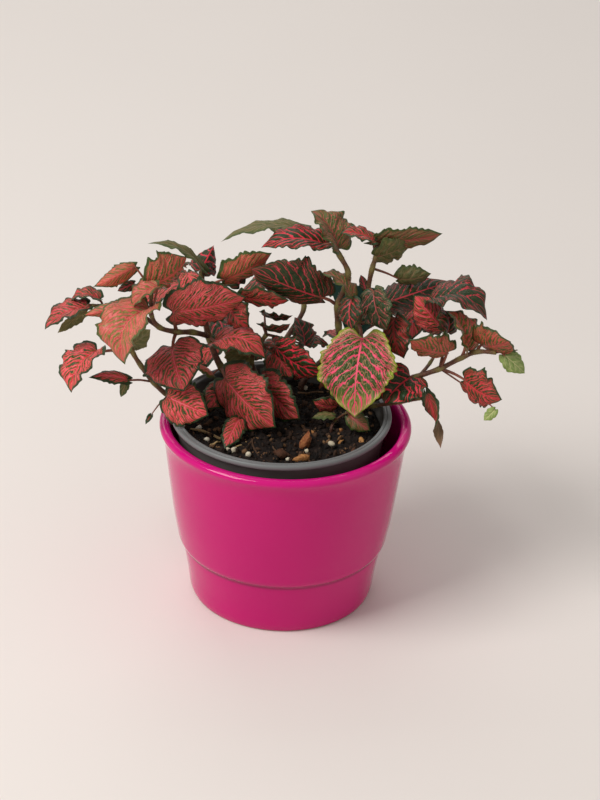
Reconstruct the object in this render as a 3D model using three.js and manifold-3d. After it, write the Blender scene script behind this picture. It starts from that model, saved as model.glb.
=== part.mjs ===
// Potted nerve plant (Fittonia): leafy stems in a plastic nursery pot that stands
// inside a glazed cover pot. Millimetres, +Z up, +X to the right and -Y to the front.
// The origin is the centre of the cover pot's flat base.
import * as THREE from 'three';
import { mergeVertices } from 'three/addons/utils/BufferGeometryUtils.js';
import Module from 'manifold-3d';

const wasm = await Module();
wasm.setup();

// ---------------------------------------------------------------- driving sizes

const CLEARANCE = 0.3; // gap between pieces that touch

// Glazed cover pot, turned round the Z axis. Its foot band ends in a small step.
const COVER = {
  height: 105,
  wall: 4.6,
  floor: 5.5,
  lip: 68.5, // outer radius of the rounded lip
  lipWidth: 3.1, // from the lip's outside to the wall's outside below it
  lipHeight: 4.6,
  lipRound: 2.6,
  // Outer radius of the wall at heights above the base.
  outside: [[49.6, 0], [51.2, 2.5], [52.5, 14], [54.8, 27], [55.7, 31.5], [57.6, 34.5],
    [60.4, 50], [65.5, 90]],
  // Heights at which the inside follows the outside, from the top down.
  insideAt: [50, 34.5, 14],
  sides: 32,
};

// Plastic nursery pot, standing a little left of the cover pot's middle.
const NURSERY = {
  offset: -2.5,
  rim: 60, // outer radius of the rim ring, a 12 cm pot
  rimWidth: 4.5,
  rimHeight: 3,
  rimRound: 0.9,
  top: 110,
  base: 42, // outer radius at the foot
  wall: 1.3,
  floor: 1.6,
  footRing: 1.5, // height of the ring it stands on
  footWidth: 3,
  drain: 3.6, // radius of a drain hole
  drains: 6,
  drainCircle: 28,
  drainSides: 6,
  sides: 32,
};

const SOIL = {
  level: 100,
  lump: 1.5, // height of the crumbs above and below the level
  holeDepth: 6,
  middle: 50, // height of the ring half way down
  rings: [0.93, 0.7, 0.46, 0.22], // radii of the crumbled top, as shares
  sides: 24,
};

// Bare plant label: a card that narrows down to its stake, leaning a little.
const LABEL = {
  foot: [31, 38, SOIL.level],
  lean: 7.5, // degrees to the right
  depth: 10, // stake below the soil level
  stake: 7,
  stakeTop: 37,
  shoulder: 63, // height at which it has its full width
  width: 34,
  height: 68,
  corner: 3,
  thickness: 0.9,
};

// Leaf blades.
const BLADE = {
  thickness: 0.8,
  point: 0.72, // moves the widest place towards the base
  round: 0.62, // fullness of the outline
  sharp: 0.4, // by how much the tip is sharper than that
  lobe: 0.1, // how far the base lobes reach back, as a share of the length
  tooth: 0.05, // scallops of the edge, as a share of the half width
  ruffle: 0.055, // waves of the edge, as a share of the width
  waves: 3.2, // number of waves from base to tip
  waveTurn: 137.5, // degrees by which each leaf's waves are shifted from the last
  sideTurn: 97, // degrees between the waves of the two edges
  twistFrom: 0.3, // share of the length at which a twisted leaf is level
  edge: 8, // pieces of each edge on a large leaf
  edgeSmall: 6,
  small: 21, // a leaf shorter than this is a small one
  midrib: [0.2, 0.45, 0.75], // places of the points on the midrib
  quarter: 0.55, // place across of the points between midrib and edge
  quarterAt: [0.27, 0.62],
};

const PETIOLE = {
  radius: 0.75,
  reach: 0.05, // end inside the blade, as a share of its length
  bendAt: 0.55, // share of its length at which it bends
  bendRise: 0.8,
  sides: 3,
  steps: 2,
};

const STEM = {
  sides: 5,
  stepsPerNode: 1.3,
  footTop: 4, // height of the upright foot above the soil level
  footSink: 1, // how deep the stem starts inside its foot
  footExtra: 0.2, // by which the foot is thicker than the stem
  footSides: 7,
};

// Colours.
const COLOUR = {
  glaze: 0xc22668,
  plastic: 0x5d6063,
  peat: 0x3b281d,
  label: 0x12403f,
  ruby: 0xc4304a,
  maroon: 0x7a2a30,
  dark: 0x4a2028,
  green: 0x8a9a3a,
  brown: 0x6a4a34,
};

// ------------------------------------------------------------------ the shoots
//
// A shoot is a list of branches. A branch has a route of stem nodes, and leaves.
// A leaf is: name, stem node it grows from, base of the blade, tip of the blade,
// width, roll about its midrib, twist towards the tip, arch and fold. Angles are in
// degrees. With no roll the upper face looks up as far as its slope lets it.
const SHOOTS = {
  left_shoot: [
    {
      radius: 2.1,
      route: [
        [-17, 25, 100], [-26, 24, 113], [-36, 20, 125], [-43, 20, 143],
        [-46, 22, 157], [-47, 26, 169], [-48, 30, 178],
      ],
      leaves: [
        ['front_big', 2, [-34, 8, 125], [-5, -17, 109], 36, 75, 0, 3, 13],
        ['front_pair', 2, [-40, 17, 122], [-52, 8, 132], 9, -20, 0, 2, 30],
        ['small_droop', 1, [-25, -8, 109], [-32, -28, 101], 13, -15, 0, 2, 15],
        ['shadow_left', 1, [-33, 18, 116], [-43, 6, 106], 17, -25, 0, 2, 12],
        ['mid_red', 3, [-40, 14, 143], [-11, 0, 141], 25, 10, 0, 9, 2],
        ['mid_olive', 4, [-33, 16, 167], [-21, 8, 156], 23, 95, 0, 3, 15],
        ['mid_narrow', 4, [-25, 18, 169], [0, 12, 171], 18, 120, 0, 1, 12],
        ['top_dark', 6, [-48, 27, 180], [-42, 42, 188], 26, 25, 0, 2, 56],
        ['top_arch', 6, [-47, 24, 181], [-76, 18, 199], 13, -5, 20, 6, 0],
        ['top_small', 5, [-27, 24, 174], [-38, 34, 182], 13, -45, 0, 2, 10],
        ['strip_top', 5, [-35, 16, 180], [-10, 22, 194], 22, 110, 0, 2, 23],
      ],
    },
    {
      radius: 1.6,
      route: [
        [-43, 20, 144], [-52, 14, 149], [-60, 8, 152], [-69, 3, 157],
        [-73, 0, 166], [-73, 0, 178],
      ],
      leaves: [
        ['big_red', 2, [-62, 3, 166], [-23, 8, 174], 32, 100, 0, 2, 20],
        ['heart', 2, [-62, 1, 147], [-54, -24, 133], 35, 30, 0, 4, 4],
        ['flecked', 5, [-74, 0, 183], [-55, 16, 193], 30, 100, 0, 4, 28],
        ['small_pink', 4, [-69, -4, 184], [-82, -10, 174], 17, 0, 0, 3, -19],
        ['wavy_left', 5, [-81, 2, 193], [-103, -8, 185], 16, -60, 20, 5, 50],
        ['pale_big', 4, [-73, -8, 173], [-85, -26, 149], 34, 10, 0, 12, -15],
      ],
    },
    {
      radius: 1.3,
      route: [[-69, 3, 157], [-79, 4, 163], [-90, 4, 165], [-99, 4, 168], [-105, 2, 169]],
      leaves: [
        ['tiny_dark', 1, [-82, 4, 182], [-91, 0, 179], 6, -55, 0, 2, 10],
        ['horizontal', 2, [-82, -5, 174], [-109, -10, 169], 14, -70, 0, 3, 57],
        ['far_left', 4, [-107, 0, 169], [-129, -8, 159], 20, 0, 0, 3, -11],
        ['far_left_curl', 4, [-107, -3, 168], [-122, -10, 158], 7, 100, 20, 2, 20],
        ['far_dark', 3, [-101, 5, 171], [-117, 6, 168], 14, 0, 0, 4, -15],
      ],
    },
  ],
  low_left_shoot: [
    {
      radius: 1.8,
      route: [
        [-44, 19, 100], [-47, 17, 108], [-55, 10, 114], [-64, 5, 115],
        [-72, 4, 123], [-79, 1, 135], [-83, 0, 143], [-85, 0, 150],
      ],
      leaves: [
        ['rim_leaf', 3, [-64, -12, 123], [-41, -22, 118], 25, 55, 0, 2, 12],
        ['dried', 3, [-72, -14, 113], [-75, -18, 109], 3, -30, 60, 1, 0],
        ['strip_low', 4, [-85, -4, 128], [-106, -10, 132], 9, -35, 20, 4, 20],
        ['tiny_olive', 4, [-86, -5, 128], [-89, -7, 119], 5, -45, 0, 0, 10],
        ['low_red', 6, [-101, -6, 146], [-114, -22, 129], 28, 15, 0, 5, -13],
        ['olive_fold', 7, [-86, 4, 145], [-74, 10, 152], 14, -150, 0, 3, 20],
      ],
    },
  ],
  centre_shoot: [
    {
      radius: 1.8,
      route: [[-14, 32, 100], [-17, 30, 114], [-20, 28, 126], [-16, 24, 137], [-12, 24, 144]],
      leaves: [
        ['front_right', 0, [-14, 17, 120], [8, -5, 108], 26, 80, 0, 3, 6],
        ['olive_mid', 2, [-21, 26, 129], [-35, 22, 130], 12, 90, 0, 3, 15],
        ['bright_vein', 3, [-7, 24, 137], [20, 10, 129], 28, 105, 0, 4, 9],
        ['under_dark', 3, [-8, 26, 132], [3, 14, 123], 19, 35, 0, 3, 12],
        ['upper_lobe', 4, [9, 26, 137], [3, 34, 150], 19, 20, 0, 2, -6],
        ['edge_wave_a', 4, [-15, 26, 149], [1, 20, 153], 15, 140, 0, 3, 5],
        ['edge_wave_b', 4, [-14, 34, 152], [2, 30, 153], 15, 140, 0, 2, 5],
      ],
    },
  ],
  tall_shoot: [
    {
      radius: 2.0,
      route: [
        [28, 32, 100], [29, 28, 128], [27, 26, 150], [26, 24, 163],
        [30, 24, 175], [31, 24, 183], [26, 26, 192], [23, 28, 196],
      ],
      leaves: [
        ['near_black', 3, [18, 22, 168], [-21, 8, 191], 33, -110, 0, 2, 28],
        ['brown_green', 4, [33, 16, 171], [16, 22, 183], 20, 10, 0, 4, -9],
        ['dark_hang', 3, [33, 12, 173], [34, 4, 159], 17, 50, 0, 2, 5],
        ['olive_top', 7, [6, 42, 199], [-38, 36, 193], 19, 5, 15, 6, 5],
        ['red_top', 7, [18, 28, 197], [-16, 26, 195], 22, -10, 0, 5, -7],
        ['brown_top', 7, [25, 28, 195], [10, 38, 212], 28, 5, 0, 3, -17],
      ],
    },
  ],
  tall_right_shoot: [
    {
      radius: 2.0,
      route: [
        [34, 33, 100], [38, 34, 125], [38, 32, 148], [42, 30, 170],
        [44, 30, 183], [46, 32, 190],
      ],
      leaves: [
        ['top_right', 5, [43, 32, 198], [81, 34, 203], 18, 120, -30, 2, 12],
        ['top_centre', 5, [44, 26, 201], [26, 24, 206], 16, -5, 0, 2, -7],
        ['olive_fan', 5, [46, 30, 190], [65, 36, 198], 22, 115, 0, 2, 10],
        ['olive_right', 4, [58, 32, 176], [76, 30, 181], 16, 105, 0, 2, 30],
        ['green_hang', 3, [45, 22, 173], [53, 12, 155], 22, 75, 0, 3, -2],
        ['tiny_up', 3, [41, 28, 171], [38, 32, 178], 5, -30, 0, 0, 10],
        ['dark_a', 3, [53, 28, 164], [87, 40, 172], 29, 60, 0, 3, 52],
        ['lime', 2, [40, 10, 151], [37, -15, 116], 43, 15, 0, 4, -4],
        ['maroon_mid', 2, [57, 22, 158], [63, 12, 138], 24, 80, 0, 3, 7],
      ],
    },
  ],
  right_shoot: [
    {
      radius: 1.8,
      route: [
        [42, 20, 100], [56, 8, 120], [69, 4, 131], [82, 2, 138],
        [93, 0, 146], [101, -2, 151], [111, -4, 152],
      ],
      leaves: [
        ['dark_round', 2, [67, 4, 131], [53, -10, 122], 32, -10, 0, 3, -10],
        ['orange_red', 3, [86, -2, 150], [64, -8, 160], 26, -125, 0, 3, 21],
        ['small_up', 3, [85, 4, 159], [81, 12, 169], 21, 35, 0, 3, 5],
        ['right_low', 3, [95, -4, 135], [115, -16, 130], 26, 100, 0, 3, 15],
        ['curved_a', 4, [95, 0, 151], [84, 10, 169], 26, 20, 0, 3, -19],
        ['curved_b', 5, [103, 2, 153], [117, -16, 165], 29, 130, 0, 2, 23],
        ['young_right', 6, [115, -4, 151], [127, -6, 141], 11, 60, 0, 2, 15],
        ['young_tip', 3, [112, -14, 123], [106, -16, 117], 6, -60, 0, 1, 10],
      ],
    },
    {
      radius: 1.0,
      route: [[72, 4, 133], [77, 7, 139], [80, 10, 145], [77, 13, 153]],
      leaves: [
        ['bright_up', 3, [83, 12, 156], [66, 12, 177], 26, -70, 0, 3, 47],
        ['dark_arch', 3, [76, 20, 166], [106, 8, 165], 34, 0, 0, 11, -9],
      ],
    },
  ],
  low_right_shoot: [
    {
      radius: 1.4,
      route: [[36, 6, 100], [39, 8, 107], [48, 2, 114], [61, -6, 121], [72, -10, 126]],
      leaves: [
        ['twisted_strip', 4, [75, -10, 129], [84, -18, 100], 9, 65, 300, -3, 5],
        ['shadow_red', 1, [28, 10, 109], [14, 8, 113], 15, -115, 0, 2, 10],
      ],
    },
  ],
  sprig: [
    {
      radius: 0.9,
      route: [[25, -4, 100], [27, 2, 104], [33, -3, 112]],
      leaves: [
        ['sprig_a', 2, [34, -4, 111], [46, -10, 105], 11, 55, 0, 2, 15],
        ['sprig_b', 1, [26, 0, 108], [14, 0, 106], 9, 0, 0, 2, 15],
      ],
    },
  ],
  back_left_shoot: [
    {
      radius: 1.8,
      route: [[-30, 36, 100], [-34, 46, 122], [-42, 56, 140], [-52, 64, 152], [-60, 70, 158]],
      leaves: [
        ['back_left_1a', 1, [-40, 44, 124], [-63, 35, 112], 20, 0, 0, 3, 14],
        ['back_left_2a', 2, [-44, 63, 142], [-54, 89, 126], 23, 0, 0, 4, 14],
        ['back_left_2b', 2, [-40, 49, 142], [-32, 27, 129], 20, 0, 0, 3, 14],
        ['back_left_3a', 3, [-58, 63, 154], [-85, 58, 141], 22, 0, 0, 4, 14],
        ['back_left_4a', 4, [-62, 75, 160], [-71, 94, 145], 19, 0, 0, 3, 14],
        ['back_left_4b', 4, [-58, 65, 160], [-50, 49, 147], 17, 0, 0, 3, 14],
      ],
    },
  ],
  back_centre_shoot: [
    {
      radius: 1.8,
      route: [[-4, 42, 100], [-2, 54, 124], [8, 64, 142], [0, 76, 154]],
      leaves: [
        ['back_centre_1a', 1, [4, 58, 126], [23, 68, 116], 19, 0, 0, 3, 14],
        ['back_centre_1b', 1, [-8, 50, 126], [-24, 41, 118], 17, 0, 0, 2, 14],
        ['back_centre_2a', 2, [7, 70, 144], [5, 98, 128], 24, 0, 0, 4, 14],
        ['back_centre_3a', 3, [6, 76, 156], [32, 76, 141], 22, 0, 0, 4, 14],
        ['back_centre_3b', 3, [-6, 76, 156], [-28, 76, 143], 19, 0, 0, 3, 14],
      ],
    },
  ],
  back_right_shoot: [
    {
      radius: 1.8,
      route: [[8, 44, 100], [28, 56, 122], [54, 62, 138], [70, 68, 146]],
      leaves: [
        ['back_right_1a', 1, [29, 62, 124], [34, 89, 111], 22, 0, 0, 4, 14],
        ['back_right_2a', 2, [60, 63, 140], [87, 65, 127], 22, 0, 0, 4, 14],
        ['back_right_3a', 3, [71, 74, 148], [73, 100, 133], 22, 0, 0, 4, 14],
        ['back_right_3b', 3, [69, 62, 148], [68, 40, 135], 19, 0, 0, 3, 14],
      ],
    },
  ],
};

const SHOOT_COLOUR = {
  left_shoot: COLOUR.ruby,
  low_left_shoot: COLOUR.ruby,
  centre_shoot: COLOUR.maroon,
  tall_shoot: COLOUR.dark,
  tall_right_shoot: COLOUR.green,
  right_shoot: COLOUR.ruby,
  low_right_shoot: COLOUR.maroon,
  sprig: COLOUR.brown,
  back_left_shoot: COLOUR.ruby,
  back_centre_shoot: COLOUR.maroon,
  back_right_shoot: COLOUR.ruby,
};

// ------------------------------------------------------------- joining helpers

const radians = THREE.MathUtils.degToRad;

/** Turns a closed geometry into a solid that can be joined and cut. */
function solid(geometry) {
  let bare = geometry.clone();
  for (const name of ['normal', 'uv']) bare.deleteAttribute(name);
  bare = mergeVertices(bare, 1e-4);
  return new wasm.Manifold(new wasm.Mesh({
    numProp: 3,
    vertProperties: Float32Array.from(bare.getAttribute('position').array),
    triVerts: Uint32Array.from(bare.getIndex().array),
  }));
}

/** Joins solids one after another. */
function join(solids) {
  return solids.reduce((sum, next) => sum.add(next));
}

/** The largest connected body of a solid, with any sealed hollow filled. */
function mainBody(shape) {
  const bodies = shape.decompose();
  return bodies.reduce((best, next) => (next.volume() > best.volume() ? next : best));
}

/** A named mesh from a solid or a geometry. */
function piece(name, shape, colour, roughness = 0.6, metalness = 0) {
  let geometry = shape;
  if (!shape.isBufferGeometry) {
    const mesh = shape.getMesh();
    geometry = new THREE.BufferGeometry();
    geometry.setAttribute('position', new THREE.BufferAttribute(mesh.vertProperties, 3));
    geometry.setIndex(new THREE.BufferAttribute(mesh.triVerts, 1));
  }
  geometry.computeVertexNormals();
  const material = new THREE.MeshStandardMaterial({ color: colour, roughness, metalness });
  const result = new THREE.Mesh(geometry, material);
  result.name = name;
  return result;
}

/** A body turned round the Z axis from [radius, height] points. */
function turned(profile, sides) {
  const points = profile.map(([radius, height]) => new THREE.Vector2(radius, height));
  return new THREE.LatheGeometry(points, sides).rotateX(Math.PI / 2);
}

/** A round bar standing on the height z. */
function post(x, y, z, radius, height, sides) {
  return new THREE.CylinderGeometry(radius, radius, height, sides)
    .rotateX(Math.PI / 2)
    .translate(x, y, z + height / 2);
}

/** A rod of a constant radius along a smooth curve. */
function rod(points, radius, sides, steps) {
  const section = new THREE.Shape();
  for (let i = 0; i < sides; i += 1) {
    const angle = (2 * Math.PI * i) / sides;
    const x = radius * Math.cos(angle);
    const y = radius * Math.sin(angle);
    if (i === 0) section.moveTo(x, y);
    else section.lineTo(x, y);
  }
  const path = new THREE.CatmullRomCurve3(points, false, 'centripetal');
  return new THREE.ExtrudeGeometry(section, { steps, extrudePath: path, bevelEnabled: false });
}

// -------------------------------------------------------------------- the pots

/** Radius of a profile of [radius, height] points at a height. */
function radiusAt(profile, height) {
  const k = profile.findIndex((point) => point[1] >= height);
  if (k <= 0) return profile[Math.max(k, 0)][0];
  const [lowRadius, low] = profile[k - 1];
  const [highRadius, high] = profile[k];
  return lowRadius + ((highRadius - lowRadius) * (height - low)) / (high - low);
}

function coverPot() {
  const { height, wall, floor, lip, lipWidth, lipHeight, lipRound, outside } = COVER;
  const neck = lip - lipWidth + 1;
  const foot = outside[0][0];
  const profile = [
    [0, 0], ...outside, [neck, height - lipHeight], [lip, height - lipRound],
    [lip - lipRound / 3, height - lipRound / 6], [lip - lipRound, height],
    [neck + 1 - wall, height - lipHeight],
    ...COVER.insideAt.map((z) => [radiusAt(outside, z) - wall, z]),
    [foot - wall, floor], [0, floor],
  ];
  return turned(profile, COVER.sides);
}

/** Height of the nursery pot's underside. */
const nurseryBottom = COVER.floor + CLEARANCE;

/** Height of the nursery pot's floor on the inside. */
const nurseryFloor = nurseryBottom + NURSERY.footRing + NURSERY.floor;

/** Outer radius of the nursery pot's wall just under its rim ring. */
const nurseryShoulder = NURSERY.rim - NURSERY.rimWidth + 1.5 * NURSERY.wall;

/** Inner radius of the nursery pot's wall at a height. */
function nurseryInside(z) {
  const share = (z - nurseryBottom) / (NURSERY.top - NURSERY.rimHeight - nurseryBottom);
  const outside = NURSERY.base + (nurseryShoulder - NURSERY.base) * share;
  return outside - NURSERY.wall;
}

function nurseryPot() {
  const { rim, rimWidth, rimHeight, rimRound, top, base, wall, footRing } = NURSERY;
  const bottom = nurseryBottom;
  const under = top - rimHeight;
  const inner = base - NURSERY.footWidth;
  const profile = [
    [0, bottom + footRing], [inner - footRing / 2, bottom + footRing], [inner, bottom],
    [base, bottom], [nurseryShoulder, under], [rim - rimRound, under],
    [rim, under + rimRound], [rim, top - rimRound], [rim - rimRound, top],
    [rim - rimWidth + rimRound, top], [rim - rimWidth, top - rimRound],
    [nurseryShoulder - wall, under - wall], [nurseryInside(nurseryFloor), nurseryFloor],
    [0, nurseryFloor],
  ];
  let pot = solid(turned(profile, NURSERY.sides));
  const below = bottom - CLEARANCE;
  const depth = nurseryFloor - below + CLEARANCE;
  const hole = (x, y) => solid(post(x, y, below, NURSERY.drain, depth, NURSERY.drainSides));
  pot = pot.subtract(hole(0, 0));
  for (let i = 0; i < NURSERY.drains; i += 1) {
    const angle = (2 * Math.PI * i) / NURSERY.drains;
    const reach = NURSERY.drainCircle;
    pot = pot.subtract(hole(reach * Math.cos(angle), reach * Math.sin(angle)));
  }
  return pot.translate(NURSERY.offset, 0, 0);
}

/** Height of the crumbs over the soil's level at a place. */
function crumb(x, y) {
  const broad = Math.sin(0.19 * x + 1.1) * Math.cos(0.16 * y - 0.4);
  const fine = Math.sin(0.53 * x - 0.37 * y) * Math.sin(0.41 * x + 0.62 * y + 2);
  return SOIL.lump * (0.55 * broad + 0.45 * fine);
}

function soil() {
  const bottom = nurseryFloor + CLEARANCE;
  const edge = (z) => nurseryInside(z) - CLEARANCE;
  const rim = edge(SOIL.level);
  const shore = SOIL.level - SOIL.lump / 2;
  const profile = [
    [0, bottom], [edge(bottom) - CLEARANCE, bottom], [edge(SOIL.middle), SOIL.middle],
    [rim, shore], ...SOIL.rings.map((share) => [rim * share, SOIL.level]), [0, SOIL.level],
  ];
  const body = turned(profile, SOIL.sides);
  const place = body.getAttribute('position');
  for (let i = 0; i < place.count; i += 1) {
    const onTop = place.getZ(i) > shore + CLEARANCE;
    if (onTop) place.setZ(i, place.getZ(i) + crumb(place.getX(i), place.getY(i)));
  }
  let earth = solid(body).translate(NURSERY.offset, 0, 0);
  for (const [first] of Object.values(SHOOTS)) {
    const [x, y] = first.route[0];
    const flat = Math.cos(Math.PI / STEM.footSides);
    const radius = (first.radius + STEM.footExtra + CLEARANCE) / flat;
    const depth = SOIL.holeDepth + CLEARANCE;
    const hole = post(x, y, SOIL.level - depth, radius, 2 * depth, STEM.footSides);
    earth = earth.subtract(solid(hole));
  }
  return earth.subtract(solid(labelBlade(2 * CLEARANCE)));
}

/** The label's card and stake, grown by some clearance for its slot. */
function labelBlade(grow = 0) {
  const { stakeTop, shoulder, height, corner, depth } = LABEL;
  const half = (LABEL.stake + grow) / 2;
  const wide = LABEL.width / 2;
  const thick = LABEL.thickness + grow;
  const outline = new THREE.Shape();
  outline.moveTo(-half, -depth - grow);
  outline.lineTo(half, -depth - grow);
  outline.lineTo(half, stakeTop);
  outline.lineTo(wide, shoulder);
  outline.lineTo(wide, height - corner);
  outline.quadraticCurveTo(wide, height, wide - corner, height);
  outline.lineTo(corner - wide, height);
  outline.quadraticCurveTo(-wide, height, -wide, height - corner);
  outline.lineTo(-wide, shoulder);
  outline.lineTo(-half, stakeTop);
  outline.closePath();
  return new THREE.ExtrudeGeometry(outline, {
    depth: thick, bevelEnabled: false, curveSegments: 4,
  })
    .translate(0, 0, -thick / 2)
    .rotateX(Math.PI / 2)
    .rotateY(radians(LABEL.lean))
    .translate(...LABEL.foot);
}

// ------------------------------------------------------------- stems and leaves

const UP = new THREE.Vector3(0, 0, 1);
const FRONT = new THREE.Vector3(0, -1, 0);

/** A vector with its part along a unit axis taken out, at length one. */
function across(vector, axis) {
  return vector.clone().addScaledVector(axis, -vector.dot(axis)).normalize();
}

/** Upright direction of a leaf whose midrib runs along axis, before its roll. */
function upright(axis) {
  const steep = Math.hypot(axis.x, axis.y) < 0.15;
  return across(steep ? FRONT : UP, axis);
}

/** Half the width of a blade at a share u of its length, as a share of the full half. */
function halfWidth(u) {
  return Math.sin(Math.PI * u ** BLADE.point) ** (BLADE.round + BLADE.sharp * u ** 4);
}

/** Reads a row of the leaf table. */
function readLeaf(row, index) {
  const [name, node, base, tip, width, roll, twist, arch, fold] = row;
  const start = new THREE.Vector3(...base);
  const end = new THREE.Vector3(...tip);
  const length = start.distanceTo(end);
  const axis = end.clone().sub(start).divideScalar(length);
  const face = upright(axis).applyAxisAngle(axis, radians(roll));
  return {
    name, node, start, length, axis, face, width, arch,
    side: axis.clone().cross(face),
    twist: radians(twist),
    fold: radians(fold),
    phase: radians(BLADE.waveTurn * index),
  };
}

/** A point of a leaf's middle surface: u from base to tip, v from -1 to 1 across. */
function leafPoint(leaf, u, v, tooth = 0) {
  const turn = leaf.twist * (u - BLADE.twistFrom);
  const side = leaf.side.clone().applyAxisAngle(leaf.axis, turn);
  const face = leaf.face.clone().applyAxisAngle(leaf.axis, turn);
  const slope = (leaf.arch * 4 * (1 - 2 * u)) / leaf.length;
  const lean = face.addScaledVector(leaf.axis, -slope).normalize();
  const half = (leaf.width / 2) * halfWidth(u) * (1 + tooth);
  const shift = v > 0 ? 0 : radians(BLADE.sideTurn);
  const wave = Math.sin(2 * Math.PI * BLADE.waves * u + leaf.phase + shift);
  const rise = BLADE.ruffle * leaf.width * v * v * wave * halfWidth(u);
  const lobe = BLADE.lobe * leaf.length * Math.abs(v) ** 1.5 * (1 - u) ** 4;
  return leaf.start.clone()
    .addScaledVector(leaf.axis, leaf.length * u - (u > 0 ? lobe : 0))
    .addScaledVector(leaf.face, leaf.arch * 4 * u * (1 - u))
    .addScaledVector(side, v * half * Math.cos(leaf.fold))
    .addScaledVector(lean, rise - Math.abs(v) * half * Math.sin(leaf.fold));
}

/** Triangles between two lines of points that share both their ends. */
function strip(left, right, turn) {
  const triangles = [];
  let i = 0;
  let j = 0;
  while (i < left.length - 1 || j < right.length - 1) {
    const stepLeft = j === right.length - 1
      || (i < left.length - 1 && left[i + 1].u <= right[j + 1].u);
    const corner = stepLeft ? left[i + 1] : right[j + 1];
    const triangle = [left[i].id, right[j].id, corner.id];
    if (new Set(triangle).size === 3) triangles.push(turn ? triangle.reverse() : triangle);
    if (stepLeft) i += 1;
    else j += 1;
  }
  return triangles;
}

/** The closed blade of a leaf, its faces split alike above and below. */
function blade(leaf) {
  const pieces = leaf.length < BLADE.small ? BLADE.edgeSmall : BLADE.edge;
  const edge = Array.from({ length: pieces - 1 }, (_, k) => (k + 1) / pieces);
  const { quarter, quarterAt, midrib } = BLADE;
  const columns = [[-1, edge], [-quarter, quarterAt], [0, midrib], [quarter, quarterAt],
    [1, edge]];
  const points = [leafPoint(leaf, 0, 0), leafPoint(leaf, 1, 0)];
  const base = { id: 0, u: 0 };
  const tip = { id: 1, u: 1 };
  const lines = columns.map(([v, shares]) => [base, ...shares.map((u, k) => {
    const tooth = Math.abs(v) === 1 ? BLADE.tooth * (-1) ** k : 0;
    points.push(leafPoint(leaf, u, v, tooth));
    return { id: points.length - 1, u };
  }), tip]);
  const top = [];
  for (let k = 0; k + 1 < lines.length; k += 1) top.push(...strip(lines[k], lines[k + 1]));

  const normals = points.map(() => new THREE.Vector3());
  for (const [a, b, c] of top) {
    const normal = points[b].clone().sub(points[a]).cross(points[c].clone().sub(points[a]));
    for (const corner of [a, b, c]) normals[corner].add(normal);
  }
  const outward = normals[lines[2][2].id].dot(leaf.face) > 0 ? 1 : -1;
  const half = (BLADE.thickness / 2) * outward;
  const above = points.map((p, k) => p.clone().addScaledVector(normals[k].normalize(), half));
  const below = points.map((p, k) => p.clone().addScaledVector(normals[k], -half));

  const count = points.length;
  const faces = top.map(([a, b, c]) => (outward > 0 ? [a, b, c] : [a, c, b]));
  const under = faces.map(([a, b, c]) => [c + count, b + count, a + count]);
  const rim = [...lines[0], ...lines[4].slice(1, -1).reverse()].map((point) => point.id);
  const wall = rim.flatMap((a, k) => {
    const b = rim[(k + 1) % rim.length];
    const quad = [[a, b, b + count], [a, b + count, a + count]];
    return outward > 0 ? quad : quad.map((t) => t.reverse());
  });
  const geometry = new THREE.BufferGeometry();
  const all = [...above, ...below].flatMap((p) => p.toArray());
  geometry.setAttribute('position', new THREE.Float32BufferAttribute(all, 3));
  geometry.setIndex([...faces, ...under, ...wall].flat());
  return geometry;
}

/** The stalk of a leaf, from inside the stem to inside the blade's base. */
function petiole(leaf, from) {
  const rib = leafPoint(leaf, PETIOLE.reach, 0);
  const bend = from.clone().lerp(leaf.start, PETIOLE.bendAt);
  bend.z += PETIOLE.bendRise;
  return rod([from, bend, rib], PETIOLE.radius, PETIOLE.sides, PETIOLE.steps);
}

let leafCount = 0;

/** One leafy stem with all its branches, as one solid. */
function shoot(branches) {
  const solids = [];
  branches.forEach(({ radius, route, leaves }, order) => {
    const nodes = route.map((point) => new THREE.Vector3(...point));
    if (order === 0) {
      const [x, y] = route[0];
      const foot = SOIL.holeDepth + STEM.footTop;
      const wide = radius + STEM.footExtra;
      solids.push(solid(post(x, y, SOIL.level - SOIL.holeDepth, wide, foot, STEM.footSides)));
      nodes[0].z += STEM.footTop - STEM.footSink;
    }
    const steps = Math.round(STEM.stepsPerNode * (nodes.length - 1));
    solids.push(solid(rod(nodes, radius, STEM.sides, steps)));
    for (const row of leaves) {
      const leaf = readLeaf(row, leafCount);
      leafCount += 1;
      solids.push(solid(petiole(leaf, nodes[leaf.node])), solid(blade(leaf)));
    }
  });
  return mainBody(join(solids));
}

// ------------------------------------------------------------------- the object

const plant = new THREE.Group();
plant.name = 'potted_nerve_plant';
plant.add(piece('cover_pot', coverPot(), COLOUR.glaze, 0.15));
plant.add(piece('nursery_pot', nurseryPot(), COLOUR.plastic, 0.45));
plant.add(piece('soil', mainBody(soil()), COLOUR.peat, 0.95));
plant.add(piece('plant_label', labelBlade(), COLOUR.label, 0.4));
for (const [name, branches] of Object.entries(SHOOTS)) {
  plant.add(piece(name, shoot(branches), SHOOT_COLOUR[name], 0.55));
}

export default plant;
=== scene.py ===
"""Looks of a potted nerve plant: a Fittonia in a nursery pot inside a glazed cover pot.

Everything is modelled in millimetres in the frame of the part, with +Z up, +X to the right
and -Y to the front, and turned into metres when a piece is made.
"""
import logging
import math
from dataclasses import dataclass, field
from enum import Enum
from typing import NamedTuple, Sequence

import bmesh
import bpy
import numpy as np
from mathutils import Matrix, Vector


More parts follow.
